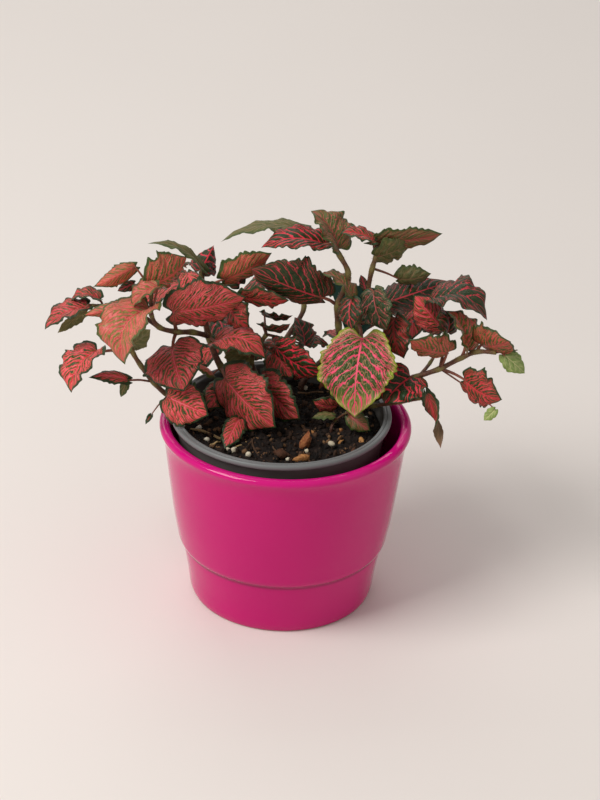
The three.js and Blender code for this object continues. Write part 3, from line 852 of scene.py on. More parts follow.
def blade_faces(rows: int, columns: int) -> list[Points]:
    """Faces of a closed blade with two sides, each with a base and a tip point after its rows.

    Args:
        rows: number of rows between base and tip.
        columns: points in a row.

    Returns:
        The faces of the upper side, of the underside and of the margin.
    """
    size = rows * columns + 2
    base, tip = size - 2, size - 1
    here = np.arange(columns - 1)
    last = (rows - 1) * columns
    first = np.arange(rows) * columns
    upper = [grid_faces(rows, columns),
             np.stack((np.full(columns - 1, base), here + 1, here), -1),
             np.stack((here + last, here + last + 1, np.full(columns - 1, tip)), -1)]
    under = [group[:, ::-1] + size for group in upper]
    left, right = np.r_[base, first, tip], np.r_[base, first + columns - 1, tip]
    margin = [np.stack((one, two, two + size, one + size), -1)
              for one, two in ((left[:-1], left[1:]), (right[1:], right[:-1]))]
    return [*upper, *under, *margin]


def turn_profile(profile: Sequence[Pair], sides: int) -> tuple[Points, list]:
    """Turns a profile round the Z axis.

    Args:
        profile: radius and height of its points, from the axis underneath, up the outside
            and back to the axis.
        sides: number of points round the axis.

    Returns:
        Points and faces of the closed body.
    """
    inner = np.array(profile[1:-1])
    heights = np.broadcast_to(inner[:, None, 1:], (len(inner), sides, 1))
    wall = np.concatenate((inner[:, None, :1] * circle(sides), heights), -1)
    ends = [(0, 0, profile[0][1]), (0, 0, profile[-1][1])]
    return np.concatenate((wall.reshape(-1, 3), ends)), ring_faces(len(inner), sides)


def tube(path: Points, radii: Points, sides: int) -> tuple[Points, list, Points]:
    """A closed round bar along a path.

    Args:
        path: points of its middle line.
        radii: radius at each of them.
        sides: points round the bar.

    Returns:
        Points, faces, and the outward direction at each point.
    """
    along = unit(np.gradient(path, axis=0))
    aside = np.cross(along[0], (0.31, 0.87, 0.39))
    frames = []
    for direction in along:
        aside = unit(aside - direction * (aside @ direction))
        frames.append((aside, np.cross(direction, aside)))
    outward = circle(sides) @ np.array(frames)
    rings = path[:, None] + outward * np.asarray(radii)[:, None, None]
    points = np.concatenate((rings.reshape(-1, 3), path[:1], path[-1:]))
    outward = np.concatenate((outward.reshape(-1, 3), -along[:1], along[-1:]))
    return points, ring_faces(len(path), sides), outward


def tube_marks(sides: int, *fields: Points | float) -> Points:
    """Returns three fields along a path, one a column, at the points of a tube round it."""
    marks = np.stack(np.broadcast_arrays(*fields), -1)
    return np.concatenate((np.repeat(marks, sides, axis=0), marks[:1], marks[-1:]))


def round_ball() -> tuple[Points, Points]:
    """Makes a ball of radius one.

    Returns:
        Its points and its triangles, spread evenly.
    """
    form = bmesh.new()
    bmesh.ops.create_icosphere(form, subdivisions=2, radius=1)
    points = np.array([corner.co for corner in form.verts])
    faces = np.array([[corner.index for corner in face.verts] for face in form.faces])
    form.free()
    return points, faces


def lumps(centres: Points, sizes: Points, seed: int, rough: float) -> tuple[Points, Points]:
    """Irregular lumps, each turned at random.

    Args:
        centres: their middles.
        sizes: their three half widths each.
        seed: seed of the random draw.
        rough: how far their surface leaves the ball, as a share.

    Returns:
        Points, lump after lump, and faces.
    """
    draw = np.random.default_rng(seed)
    ball, faces = round_ball()
    count = len(centres)
    turns = np.linalg.qr(draw.normal(size=(count, 3, 3)))[0]
    turns[:, 0] *= np.sign(np.linalg.det(turns))[:, None]
    swell = np.ones((count, len(ball)))
    for strength, size in ((rough, 2.2), (rough * 0.6, 5.0)):
        waves = draw.normal(size=(count, 3, 2)) * size
        swell += strength * np.sin(ball @ waves + draw.uniform(0, 6, (count, 1, 2))).sum(-1)
    flat = ball * np.clip(swell, 0.35, 1.7)[..., None] * np.asarray(sizes)[:, None]
    lying = unit(turns * (0.35, 0.35, 1.0))  # turned so that most of them lie flat
    lying = np.linalg.qr(np.swapaxes(lying, 1, 2))[0]
    lying[:, :, 0] *= np.sign(np.linalg.det(lying))[:, None]
    points = flat @ np.swapaxes(lying, 1, 2) + np.asarray(centres)[:, None]
    offsets = np.arange(count)[:, None, None] * len(ball)
    return points.reshape(-1, 3), (faces + offsets).reshape(-1, 3)


def dressed(piece: Piece, node: str) -> Piece:
    """Fixes a piece to the model.

    Args:
        piece: the piece.
        node: name of the solid it stands for.

    Returns:
        The piece.
    """
    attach(piece, BODY)
    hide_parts(node)
    return piece


# ---- the pots

@dataclass
class CoverPot:
    """Glazed cover pot, whose foot band ends in a small step."""

    wall: float = 4.6
    floor: float = 5.5
    lip_middle: Pair = (65.8, 102.4)
    lip_half: Pair = (2.7, 2.6)
    lip_inner: tuple[Pair, ...] = (
        (64.9, 105), (64.0, 104.85), (63.2, 104.3), (62.6, 103.2), (62.2, 101))
    outside: tuple[Pair, ...] = (
        (50.4, 1.4), (51.2, 4.0), (52.5, 14), (54.0, 23), (54.9, 28), (55.3, 30.6), (55.8, 32.2),
        (57.0, 33.6), (57.8, 35.4), (58.6, 39.5), (60.4, 50), (63.0, 70), (64.9, 86), (65.9, 94),
        (67.0, 98.6), (68.0, 101.2))
    underside: tuple[Pair, ...] = (
        (0, 0), (20, 0), (40, 0), (48.4, 0), (49.2, 0.12), (49.9, 0.55))
    inside_heights: tuple[float, ...] = (96, 84, 70, 50, 38, 33, 28, 16, 9)
    sides: int = 192

    def profile(self) -> list[Pair]:
        """Works out radius and height of the points that are turned.

        Returns:
            The points, in order from the axis underneath to the axis above.
        """
        outside = smooth_path(np.array(self.outside), 5)
        turns = np.radians(np.linspace(-12, 90, 14))
        (across, up), (wide, high) = self.lip_middle, self.lip_half
        lip = np.stack((across + wide * np.cos(turns), up + high * np.sin(turns)), -1)
        inside = [(np.interp(z, outside[:, 1], outside[:, 0]) - self.wall, z)
                  for z in self.inside_heights]
        corner = [(45.6, 6.6), (44.2, 5.7), (42.6, self.floor), (20, self.floor)]
        mouth = [*lip, *self.lip_inner]
        return [*self.underside, *outside, *mouth, *inside, *corner, (0, self.floor)]

    def build(self) -> Piece:
        """Makes the pot.

        Returns:
            The piece.
        """
        points, faces = turn_profile(self.profile(), self.sides)
        shape = Shape()
        shape.add(points, faces)
        pot = shape.piece("glazed_cover_pot", [GlazeFinish().material()], 60)
        return dressed(pot, "cover_pot")


@dataclass
class NurseryPot:
    """Grey plastic pot with a flat rim ring, standing a little to the left."""

    offset: float = -2.5
    bottom: float = 5.8
    floor: float = 8.9
    floor_thickness: float = 1.6
    base: float = 42.0  # outer radius at the foot
    shoulder: float = 57.45  # outer radius under the rim ring
    rim: float = 60.0
    rim_under: float = 107.0
    top: float = 110.0
    wall: float = 1.3
    groove: float = 57.5  # radius of the fine groove in the rim's top
    drain: float = 3.6
    drains: int = 6
    drain_circle: float = 28.0
    sides: int = 160

    def inside(self, height: float) -> float:
        """Returns the inner radius at a height."""
        share = (height - self.bottom) / (self.rim_under - self.bottom)
        return self.base + (self.shoulder - self.base) * share - self.wall

    def profile(self) -> list[Pair]:
        """Works out radius and height of the points that are turned.

        Returns:
            The points, in order from the axis underneath to the axis above.
        """
        lift = self.floor - self.floor_thickness
        outer = [(0, lift), (20, lift), (38.2, lift), (39, lift - 0.4), (39.2, self.bottom + 0.2),
                 (39.6, self.bottom), (41.6, self.bottom), (42, self.bottom + 0.4)]
        wall = [(self.inside(z) + self.wall, z) for z in np.linspace(10, self.rim_under - 0.6, 14)]
        turns = np.radians(np.linspace(-80, 80, 9))
        middle = (self.top + self.rim_under) / 2
        half = (self.top - self.rim_under) / 2
        edge = [(self.rim - 0.9 + 0.9 * math.cos(a), middle + half * math.sin(a)) for a in turns]
        drops = [(59.0, 0), (58.0, 0.04), (self.groove + 0.3, 0.1), (self.groove + 0.1, 0.45),
                 (self.groove - 0.1, 0.45), (self.groove - 0.3, 0.18), (56.6, 0.14), (56.0, 0.2),
                 (55.6, 0.5), (55.5, 1.0), (55.8, 2.8), (56.1, 4.3)]
        top = [(radius, self.top - drop) for radius, drop in drops]
        inner = [(self.inside(z), z) for z in np.linspace(self.top - 5.4, 10.2, 12)]
        floor = [(self.inside(self.floor) - 0.8, self.floor), (20, self.floor), (0, self.floor)]
        return [*outer, *wall, (self.shoulder, self.rim_under), *edge, *top, *inner, *floor]

    def cutter(self) -> Piece:
        """Makes the bars that cut the drain holes.

        Returns:
            The bars, as one object.
        """
        shape = Shape()
        for x, y in ((0, 0), *(circle(self.drains) * self.drain_circle)):
            path = np.array([(x, y, self.bottom - 2), (x, y, self.floor + 2)])
            points, faces, _ = tube(path, [self.drain] * 2, 24)
            shape.add(points, faces)
        return shape.piece("drain_holes", [])

    def build(self) -> Piece:
        """Makes the pot and cuts its drain holes.

        Returns:
            The piece.
        """
        points, faces = turn_profile(self.profile(), self.sides)
        shape = Shape()
        shape.add(points, faces)
        pot = shape.piece("plastic_nursery_pot", [PlasticFinish().material()])
        cutter = self.cutter()
        cut = pot.modifiers.new("drains", "BOOLEAN")
        cut.object = cutter
        cut.operation = "DIFFERENCE"
        cut.solver = "EXACT"
        bpy.context.view_layer.update()
        view = bpy.context.evaluated_depsgraph_get()
        mesh = bpy.data.meshes.new_from_object(pot.evaluated_get(view))
        pot.modifiers.clear()
        pot.data = mesh
        bpy.data.objects.remove(cutter)
        mesh.transform(Matrix.Translation((self.offset * MM, 0, 0)))
        mesh.shade_smooth()
        mesh.set_sharp_from_angle(angle=math.radians(40))
        return dressed(pot, "nursery_pot")


# ---- the soil

@dataclass
class Soil:
    """Peat in the nursery pot, with crumbs, perlite, bark, twigs and roots on it."""

    pot: NurseryPot
    level: float = 100.0
    lump: float = 1.5
    bottom: float = 9.2
    gap: float = 0.3
    rings: int = 74
    sides: int = 220
    crumbs: int = 1300
    crumb_sizes: Pair = (0.45, 1.95)  # half widths of the smallest and largest
    crumb_shore: float = 2.6  # how far they keep from the pot's wall
    perlite: tuple[Triple, ...] = (
        (-56, -3, 1.5), (-47, -4, 1.7), (-42, -19, 1.3), (-27, -30, 2.0), (-30, -28, 1.2),
        (-19, -33, 1.5), (2, -36, 1.2), (12, -27, 1.4), (25, -19, 1.7), (-33, 31, 1.6),
        (10, 45, 1.5), (30, 36, 1.3), (-12, 48, 1.7), (44, 12, 1.4), (-50, 14, 1.2))
    bark: tuple[tuple[float, float, float, float], ...] = (
        (-2, -31, 5.6, 0.35), (11, -21, 5.2, 0.8), (9, -35, 3.6, 0.9), (-40, 33, 4.6, 0.5),
        (22, 47, 4.2, 0.7), (30, -14, 2.1, 0.95), (41, -13, 2.3, 0.95), (15, -6, 1.9, 0.9),
        (30, -3, 2.0, 0.85), (-8, -44, 2.6, 0.3), (-36, -34, 2.4, 0.45), (36, -27, 2.6, 0.4))
    twigs: tuple[tuple[float, float, tuple[Pair, ...]], ...] = (
        (0.9, 0.8, ((-52, -6), (-44, -9), (-34, -14))),
        (0.5, 0.2, ((-18, -16), (-16, -25), (-12, -36))),
        (0.4, 0.25, ((-17, -17), (-19, -22), (-19, -27))),
        (0.45, 0.3, ((-6, -21), (-3, -29), (-6, -37))),
        (0.5, 1.0, ((-40, -23), (-37, -20), (-35, -17))),
        (0.45, 0.95, ((-26, -24), (-23, -22), (-20, -18))),
        (0.7, 0.5, ((6, 38), (16, 42), (24, 40))),
        (0.5, 0.7, ((-30, 44), (-22, 42), (-16, 46))))

    def height(self, flat: Points) -> Points:
        """Height of the soil.

        Args:
            flat: places from left to right and from front to back, one a row.

        Returns:
            The height at each place.
        """
        # Waves like those of the soil's solid, and finer lumps on them.
        left, y = flat[:, 0] - self.pot.offset, flat[:, 1]
        broad = np.sin(0.19 * left + 1.1) * np.cos(0.16 * y - 0.4)
        fine = np.sin(0.53 * left - 0.37 * y) * np.sin(0.41 * left + 0.62 * y + 2)
        rough = 0.55 * ripple(flat, 4.2, 3) + 0.4 * ripple(flat, 2.0, 4) + 0.3 * ripple(flat, 1.0, 5)
        return self.level + self.lump * (0.55 * broad + 0.45 * fine) + rough

    def earth(self) -> Piece:
        """Makes the body of the soil with its uneven top.

        Returns:
            The piece.
        """
        edge = self.pot.inside(self.level) - self.gap
        shore = self.level - self.lump / 2
        below = [(0, self.bottom), (20, self.bottom), (self.pot.inside(self.bottom) - 0.8, self.bottom)]
        side = [(self.pot.inside(z) - self.gap, z) for z in (12, 30, 50, 70, 88, 95, shore)]
        shares = np.linspace(0.992, 0.006, self.rings)
        top = [(edge * share, self.level) for share in shares]
        points, faces = turn_profile([*below, *side, *top, (0, self.level)], self.sides)
        points[:, 0] += self.pot.offset
        lie = points[:, 2] > shore + 0.01
        points[lie, 2] = self.height(points[lie, :2])
        shape = Shape()
        shape.add(points, faces)
        return self.laid(shape.piece("peat_soil", [PeatFinish().material()], 60))

    def laid(self, piece: Piece) -> Piece:
        """Fixes a piece of the soil to the model, and returns it."""
        return dressed(piece, "soil")

    def strew(self, shape: Shape, flat: Points, size: Points, form: Points | Triple, lift: float,
              tones: Points, seed: int, rough: float, dress: int = 0) -> None:
        """Lays lumps on the soil.

        Args:
            shape: the shape that takes them.
            flat: their places from left to right and from front to back.
            size: their typical half widths.
            form: their three half widths as shares of that.
            lift: height of their middles over the soil as a share of their size.
            tones: how light each is, from 0 to 1.
            seed: seed of their forms.
            rough: how far their surface leaves the ball, as a share.
            dress: number of their material.
        """
        centres = np.column_stack((flat, self.height(flat) + lift * size))
        points, faces = lumps(centres, size[:, None] * form, seed, rough)
        grain = np.repeat(tones, len(points) // len(tones))
        shape.add(points, [faces], dress, grain=grain[:, None])

    def loose(self) -> Piece:
        """Makes the crumbs that lie on the soil.

        Returns:
            The piece.
        """
        draw = np.random.default_rng(11)
        reach = self.pot.inside(self.level) - self.crumb_shore
        radius = reach * np.sqrt(draw.uniform(0, 1, self.crumbs))
        turn = draw.uniform(0, 2 * math.pi, self.crumbs)
        small, large = self.crumb_sizes
        size = small + (large - small) * draw.uniform(0, 1, self.crumbs) ** 2.6
        flat = np.stack((self.pot.offset + radius * np.cos(turn), radius * np.sin(turn)), -1)
        form = draw.uniform((0.8, 0.6, 0.4), (1.5, 1.0, 0.8), (self.crumbs, 3))
        tones = draw.uniform(0, 1, self.crumbs) ** 2.2
        shape = Shape()
        self.strew(shape, flat, size, form, 0.15, tones, 12, 0.22)
        stops = ((0.0, (20, 14, 11)), (0.35, (48, 33, 24)), (0.7, (86, 60, 42)), (1.0, (132, 98, 66)))
        finish = GrainFinish("soil_crumb", stops, 0.85, 0.5, 1.1)
        return self.laid(shape.piece("soil_crumbs", [finish.material()]))

    def bits(self) -> Piece:
        """Makes the perlite and bark.

        Returns:
            The piece.
        """
        shape = Shape()
        x, y, size = np.array(self.perlite).T
        tones = np.random.default_rng(5).uniform(0.3, 1, len(size))
        self.strew(shape, np.stack((x, y), -1), size, (1.1, 0.95, 0.85), 0.45, tones, 21, 0.14)
        x, y, size, tones = np.array(self.bark).T
        self.strew(shape, np.stack((x, y), -1), size, (1.15, 0.8, 0.45), 0.25, tones, 34, 0.2, 1)
        white = ((0.0, (176, 160, 132)), (0.5, (214, 202, 176)), (1.0, (238, 232, 216)))
        brown = ((0.0, (38, 24, 17)), (0.4, (84, 52, 34)), (0.75, (136, 72, 44)),
                 (1.0, (188, 136, 78)))
        finishes = [GrainFinish("perlite", white, 0.8, 0.35, 2.4).material(),
                    GrainFinish("bark", brown, 0.75, 0.6, 0.8).material()]
        return self.laid(shape.piece("perlite_and_bark", finishes))

    def roots(self) -> Piece:
        """Makes the twigs and roots that lie on the soil.

        Returns:
            The piece.
        """
        shape = Shape()
        for k, (radius, tone, route) in enumerate(self.twigs):
            flat = smooth_path(np.array(route, float), 14)
            flat = flat + 0.5 * np.stack((ripple(flat, 5, 40 + k), ripple(flat, 5, 60 + k)), -1)
            high = self.height(flat)
            high = np.convolve(np.pad(high, 4, "edge"), np.full(9, 1 / 9), "valid") + radius * 0.9
            path = np.column_stack((flat, high))
            thick = radius * (1 + 0.22 * ripple(path, 2.5, 80 + k))
            thick[[0, -1]] *= 0.5
            points, faces, _ = tube(path, thick, 9)
            shape.add(points, faces, grain=(tone, 0, 0))
        stops = ((0.0, (34, 22, 18)), (0.5, (104, 76, 52)), (1.0, (186, 156, 108)))
        finish = GrainFinish("twig", stops, 0.7, 0.2, 1.6)
        return self.laid(shape.piece("twigs_and_roots", [finish.material()]))


@dataclass
class PlantLabel:
    """Bare plant label: a card that narrows down to its stake, leaning a little."""

    foot: Triple = (31.0, 38.0, 100.0)
    lean: float = 7.5
    depth: float = 10.0
    stake: float = 7.0
    stake_top: float = 37.0
    shoulder: float = 63.0
    width: float = 34.0
    height: float = 68.0
    corner: float = 3.0
    thickness: float = 0.9
    edge: float = 0.3  # width of its rounded edge
    point: float = 6.0  # length of the stake's point
    bend: float = 0.0006  # how far it bends back, by the square of the height over bend_from
    bend_from: float = 20.0
    across: int = 14

    def half_width(self, height: Points) -> Points:
        """Half the width of the outline.

        Args:
            height: heights above the soil.

        Returns:
            Half the width at each.
        """
        wide = self.width / 2
        rise = np.clip((height - self.stake_top) / (self.shoulder - self.stake_top), 0, 1)
        plain = self.stake / 2 + (wide - self.stake / 2) * rise
        into = np.clip(height - (self.height - self.corner), 0, self.corner) / self.corner
        round_top = self.corner * (1 - np.sqrt(np.clip(1 - into * into, 0, 1)))
        point = np.clip(self.point - self.depth - height, 0, self.point) / self.point
        return (plain - round_top) * (1 - 0.75 * point)

    def build(self) -> Piece:
        """Makes the label.

        Returns:
            The piece.
        """
        turns = np.linspace(0, math.pi / 2, 9)[1:]
        heights = np.r_[np.linspace(-self.depth, self.stake_top, 12),
                        np.linspace(self.stake_top, self.shoulder, 18)[1:],
                        np.linspace(self.shoulder, self.height - self.corner, 4)[1:],
                        self.height - self.corner * (1 - np.sin(turns))]
        share = np.linspace(-1, 1, self.across)
        half = self.half_width(heights)
        x = half[:, None] * share
        z = np.broadcast_to(heights[:, None], x.shape)
        bow = self.bend * (z - self.bend_from) ** 2 * (z > self.bend_from)
        from_edge = np.minimum((1 - np.abs(share)) * half[:, None], self.height - z)
        rim = np.minimum(1, from_edge / self.edge)
        thick = self.thickness / 2 * (0.55 + 0.45 * rim)
        front = np.stack((x, bow - thick, z), -1).reshape(-1, 3)
        back = np.stack((x, bow + thick, z), -1).reshape(-1, 3)
        rows, columns = x.shape
        number = np.arange(rows * columns).reshape(rows, columns)
        loop = np.r_[number[0], number[1:, -1], number[-1, -2::-1], number[-2:0:-1, 0]]
        after = np.roll(loop, -1)
        count = rows * columns
        wall = np.stack((loop, loop + count, after + count, after), -1)
        faces = grid_faces(rows, columns)
        points = np.concatenate((front, back))
        tilt = math.radians(self.lean)
        turn = np.array([[math.cos(tilt), 0, math.sin(tilt)], [0, 1, 0],
                         [-math.sin(tilt), 0, math.cos(tilt)]])
        shape = Shape()
        shape.add(points @ turn.T + self.foot, [faces, faces[:, ::-1] + count, wall])
        label = shape.piece("bare_plant_label", [CardFinish().material()], 40)
        return dressed(label, "plant_label")


# ---- stems and leaves

class Leaf(NamedTuple):
    """Where a leaf grows and how its blade is held, in millimetres and degrees."""

    name: str
    node: int
    base: Triple
    tip: Triple
    width: float
    roll: float
    twist: float
    arch: float
    fold: float
    kind: Kind


class Branch(NamedTuple):
    """A stem with its thickness, its nodes and its leaves."""

    radius: float
    route: list[Triple]
    leaves: list[tuple]


class Blade:
    """Blade of one leaf: rows from its base to its tip, and columns across it."""

    def __init__(self, leaf: Leaf, order: int) -> None:
        """Works out the directions of a leaf.

        Args:
            leaf: the leaf.
            order: its number among all the plant's leaves.
        """
        self.leaf = leaf
        self.draw = np.random.default_rng(900 + order)
        self.phase = LEAF.wave_turn * order
        self.start = np.array(leaf.base, float)
        span = np.array(leaf.tip, float) - self.start
        self.length = float(np.linalg.norm(span))
        self.axis = span / self.length
        steep = math.hypot(self.axis[0], self.axis[1]) < 0.15
        up = np.array((0.0, -1.0, 0.0) if steep else (0.0, 0.0, 1.0))
        up = unit(up - self.axis * (up @ self.axis))
        roll = math.radians(leaf.roll)
        self.face = up * math.cos(roll) + np.cross(self.axis, up) * math.sin(roll)
        self.side = np.cross(self.axis, self.face)
        self.teeth = int(np.clip(round(1.1 * self.length / LEAF.tooth), 4, 15))
        self.tooth_sizes = self.draw.uniform(0.3, 1.4, (2, self.teeth + 1))
        self.lean = self.draw.uniform(1.1, 3.2)  # how far the teeth lean to the tip

    def outline(self, u: Points) -> Points:
        """Returns half the width at shares of the length, as a share of the widest."""
        share = np.clip(u, 0, 1)
        return np.sin(math.pi * share ** LEAF.point) ** (LEAF.fullness + LEAF.sharp * share ** 4)

    def scallop(self, u: Points, v: Points) -> Points:
        """Teeth of the margin, which point to the tip, and its broad lobes.

        Args:
            u: shares of the length from base to tip.
            v: shares across, whose sign tells the two margins apart.

        Returns:
            What they add to the half width, as a share of it.
        """
        place = u * self.teeth
        rise = place - np.floor(place + 1e-6)
        tooth = np.sin(math.pi * np.clip(rise, 0, 1) ** self.lean) ** 0.8
        number = np.clip(place + 1e-6, 0, self.teeth).astype(int)
        chosen = self.tooth_sizes[(v > 0).astype(int), number]
        depth = min(LEAF.tooth_depth, 2 * LEAF.deepest_tooth / self.leaf.width)
        turn = 2 * math.pi * u + 2.6 * (v > 0)
        lobes = np.sin(2.1 * turn + self.phase) + 0.3 * np.sin(4.3 * turn + 1.7 * self.phase)
        margin = depth * (tooth - 0.5) * chosen + LEAF.lobing * lobes
        return margin * smooth(self.outline(u), 0.2, 0.7)

    def surface(self, u: Points, v: Points) -> Points:
        """Middle surface of the blade.

        Args:
            u: shares of the length from base to tip.
            v: shares across, from -1 to 1.

        Returns:
            The points.
        """
        leaf = self.leaf
        out = np.abs(v)
        full = self.outline(u)
        half = leaf.width / 2 * full
        half = half * (1 + self.scallop(u, v) * out ** 6)
        turn = (math.radians(leaf.twist) * (u - LEAF.twist_from))[..., None]
        side = self.side * np.cos(turn) - self.face * np.sin(turn)
        face = self.face * np.cos(turn) + self.side * np.sin(turn)
        slope = (leaf.arch * 4 * (1 - 2 * u) / self.length)[..., None]
        lean = unit(face - self.axis * slope)
        shift = np.where(v > 0, 0, LEAF.side_turn)
        wave = np.sin(2 * math.pi * LEAF.waves * u + self.phase + shift)
        small = np.sin(2 * math.pi * LEAF.crinkles * u + 2.3 * self.phase + 3 * shift)
        small *= 0.6 + 0.4 * np.sin(2 * math.pi * 1.9 * u + self.phase)
        ruffle = LEAF.ruffle * out ** 2 * wave + LEAF.crinkle * out ** 4 * small
        rise = leaf.width * full * ruffle
        lobe = LEAF.lobe * self.length * out ** 1.5 * (1 - u) ** 4 * smooth(full * out, 0, 0.35)
        fold = math.radians(leaf.fold)
        along = (self.length * u - lobe)[..., None] * self.axis
        arched = (leaf.arch * 4 * u * (1 - u))[..., None] * self.face
        sideways = (v * half * math.cos(fold))[..., None] * side
        upward = (rise - out * half * math.sin(fold))[..., None] * lean
        return self.start + along + arched + sideways + upward

    def gap(self, phase: Points, down: Points, right: Points) -> Points:
        """Distance between two side veins on the surface, in millimetres.

        Args:
            phase: the field that grows by one from each side vein to the next.
            down: steps of the surface from row to row.
            right: steps of the surface from column to column.

        Returns:
            The distance at each point.
        """
        one, two = np.gradient(phase)
        two[:, phase.shape[1] // 2 - 1:phase.shape[1] // 2 + 1] = 0
        long, wide, mixed = ((p * q).sum(-1) for p, q in ((down, down), (right, right), (down, right)))
        steep = wide * one ** 2 - 2 * mixed * one * two + long * two ** 2
        area = np.maximum(long * wide - mixed ** 2, 1e-9)
        return np.clip(np.sqrt(area / np.maximum(steep, 1e-9)), 0.4, 7)

    def grid(self) -> tuple[Points, Points]:
        """Shares along and across at which the blade has its points.

        Returns:
            Shares from base to tip, close together at both ends, and shares across from -1 to 1.
        """
        near = (0.0, 0.0015, 0.005, 0.011, 0.021)
        rows = self.teeth * LEAF.rows_per_tooth
        middle = np.arange(1, rows) / rows
        ends = (1 - 0.5 / rows, 0.996, 1.0)
        line = np.linspace(-1, 1, 2 * LEAF.columns + 1)
        across = np.sign(line) * (1 - (1 - np.abs(line)) ** 1.2)
        return np.unique(np.r_[near, middle[middle > near[-1] + 0.004], ends]), across

    def relief(self, u: Points, out: Points, phase: Points) -> tuple[Points, Points]:
        """Heights of the two sides over the middle surface, in millimetres.

        Args:
            u: shares of the length from base to tip.
            out: shares of the way from the midrib to the margin.
            phase: the field that grows by one from each side vein to the next.

        Returns:
            Heights of the upper side and of the underside.
        """
        full = self.outline(u)
        half = self.leaf.width / 2 * full
        far = out * half
        between = np.sin(math.pi * (phase - np.floor(phase) - 0.5)) ** 2
        strength = smooth(out, 0.03, 0.25) * (1 - smooth(out, 0.8, 1.0)) * smooth(full, 0.2, 0.7)
        quilt = min(LEAF.quilt, LEAF.quilt_share * self.leaf.width) * between * strength
        dome = LEAF.dome * half * 4 * out * (1 - out)
        groove = LEAF.groove * np.exp(-(far / LEAF.groove_width) ** 2) * (1 - 0.7 * u)
        rib = LEAF.rib * np.exp(-(far / LEAF.rib_width) ** 2) * (1 - 0.85 * u)
        thick = LEAF.thickness * (1 - 0.6 * out ** 6) * smooth(full, 0, 0.25)
        thick = np.maximum(thick, LEAF.least_thickness)
        return quilt + dome - groove + thick / 2, quilt + dome - rib - thick / 2

    def build(self, name: str, material: Material) -> Piece:
        """Makes the blade.

        Args:
            name: name of the piece.
            material: its material.

        Returns:
            The object.
        """
        share, across = self.grid()
        u, v = np.meshgrid(share, across, indexing="ij")
        out = np.abs(v)
        half = self.leaf.width / 2 * self.outline(u)
        veins = int(np.clip(round(self.length / LEAF.vein_gap), 4, 8))
        slant = LEAF.vein_slant * out ** 1.12 * (1 - 0.3 * u)
        phase = veins * (u - slant) + self.draw.uniform(0, 1) + np.where(v < 0, 0.4, 0.0)

        middle = self.surface(u, v)
        down, right = (np.gradient(middle, axis=k) for k in (0, 1))
        normal = np.cross(right, down)
        normal[0], normal[-1] = normal[1].mean(0), normal[-2].mean(0)
        normal = unit(normal + 1e-9)

        def listed(field: Points) -> Points:
            """Returns a field in the order of the points of one side: rows, base and tip."""
            rows = field[1:-1].reshape(-1, *field.shape[2:])
            return np.concatenate((rows, field[:1, LEAF.columns], field[-1:, LEAF.columns]))

        points = np.concatenate([listed(middle + normal * height[..., None])
                                 for height in self.relief(u, out, phase)])
        random = self.draw.uniform(0, 1)
        lines = np.stack([listed(f) for f in (phase, out * half, (1 - out) * half)], -1)
        places = np.stack([listed(f) for f in (u, v, self.gap(phase, down, right))], -1)
        sides = [np.stack(np.broadcast_arrays(random, listed(out), side), -1) for side in (0, 1)]
        shape = Shape()
        shape.add(points, blade_faces(len(share) - 2, len(across)), veins=np.tile(lines, (2, 1)),
                  leaf=np.concatenate(sides), place=np.tile(places, (2, 1)))
        return shape.piece(name, [material])


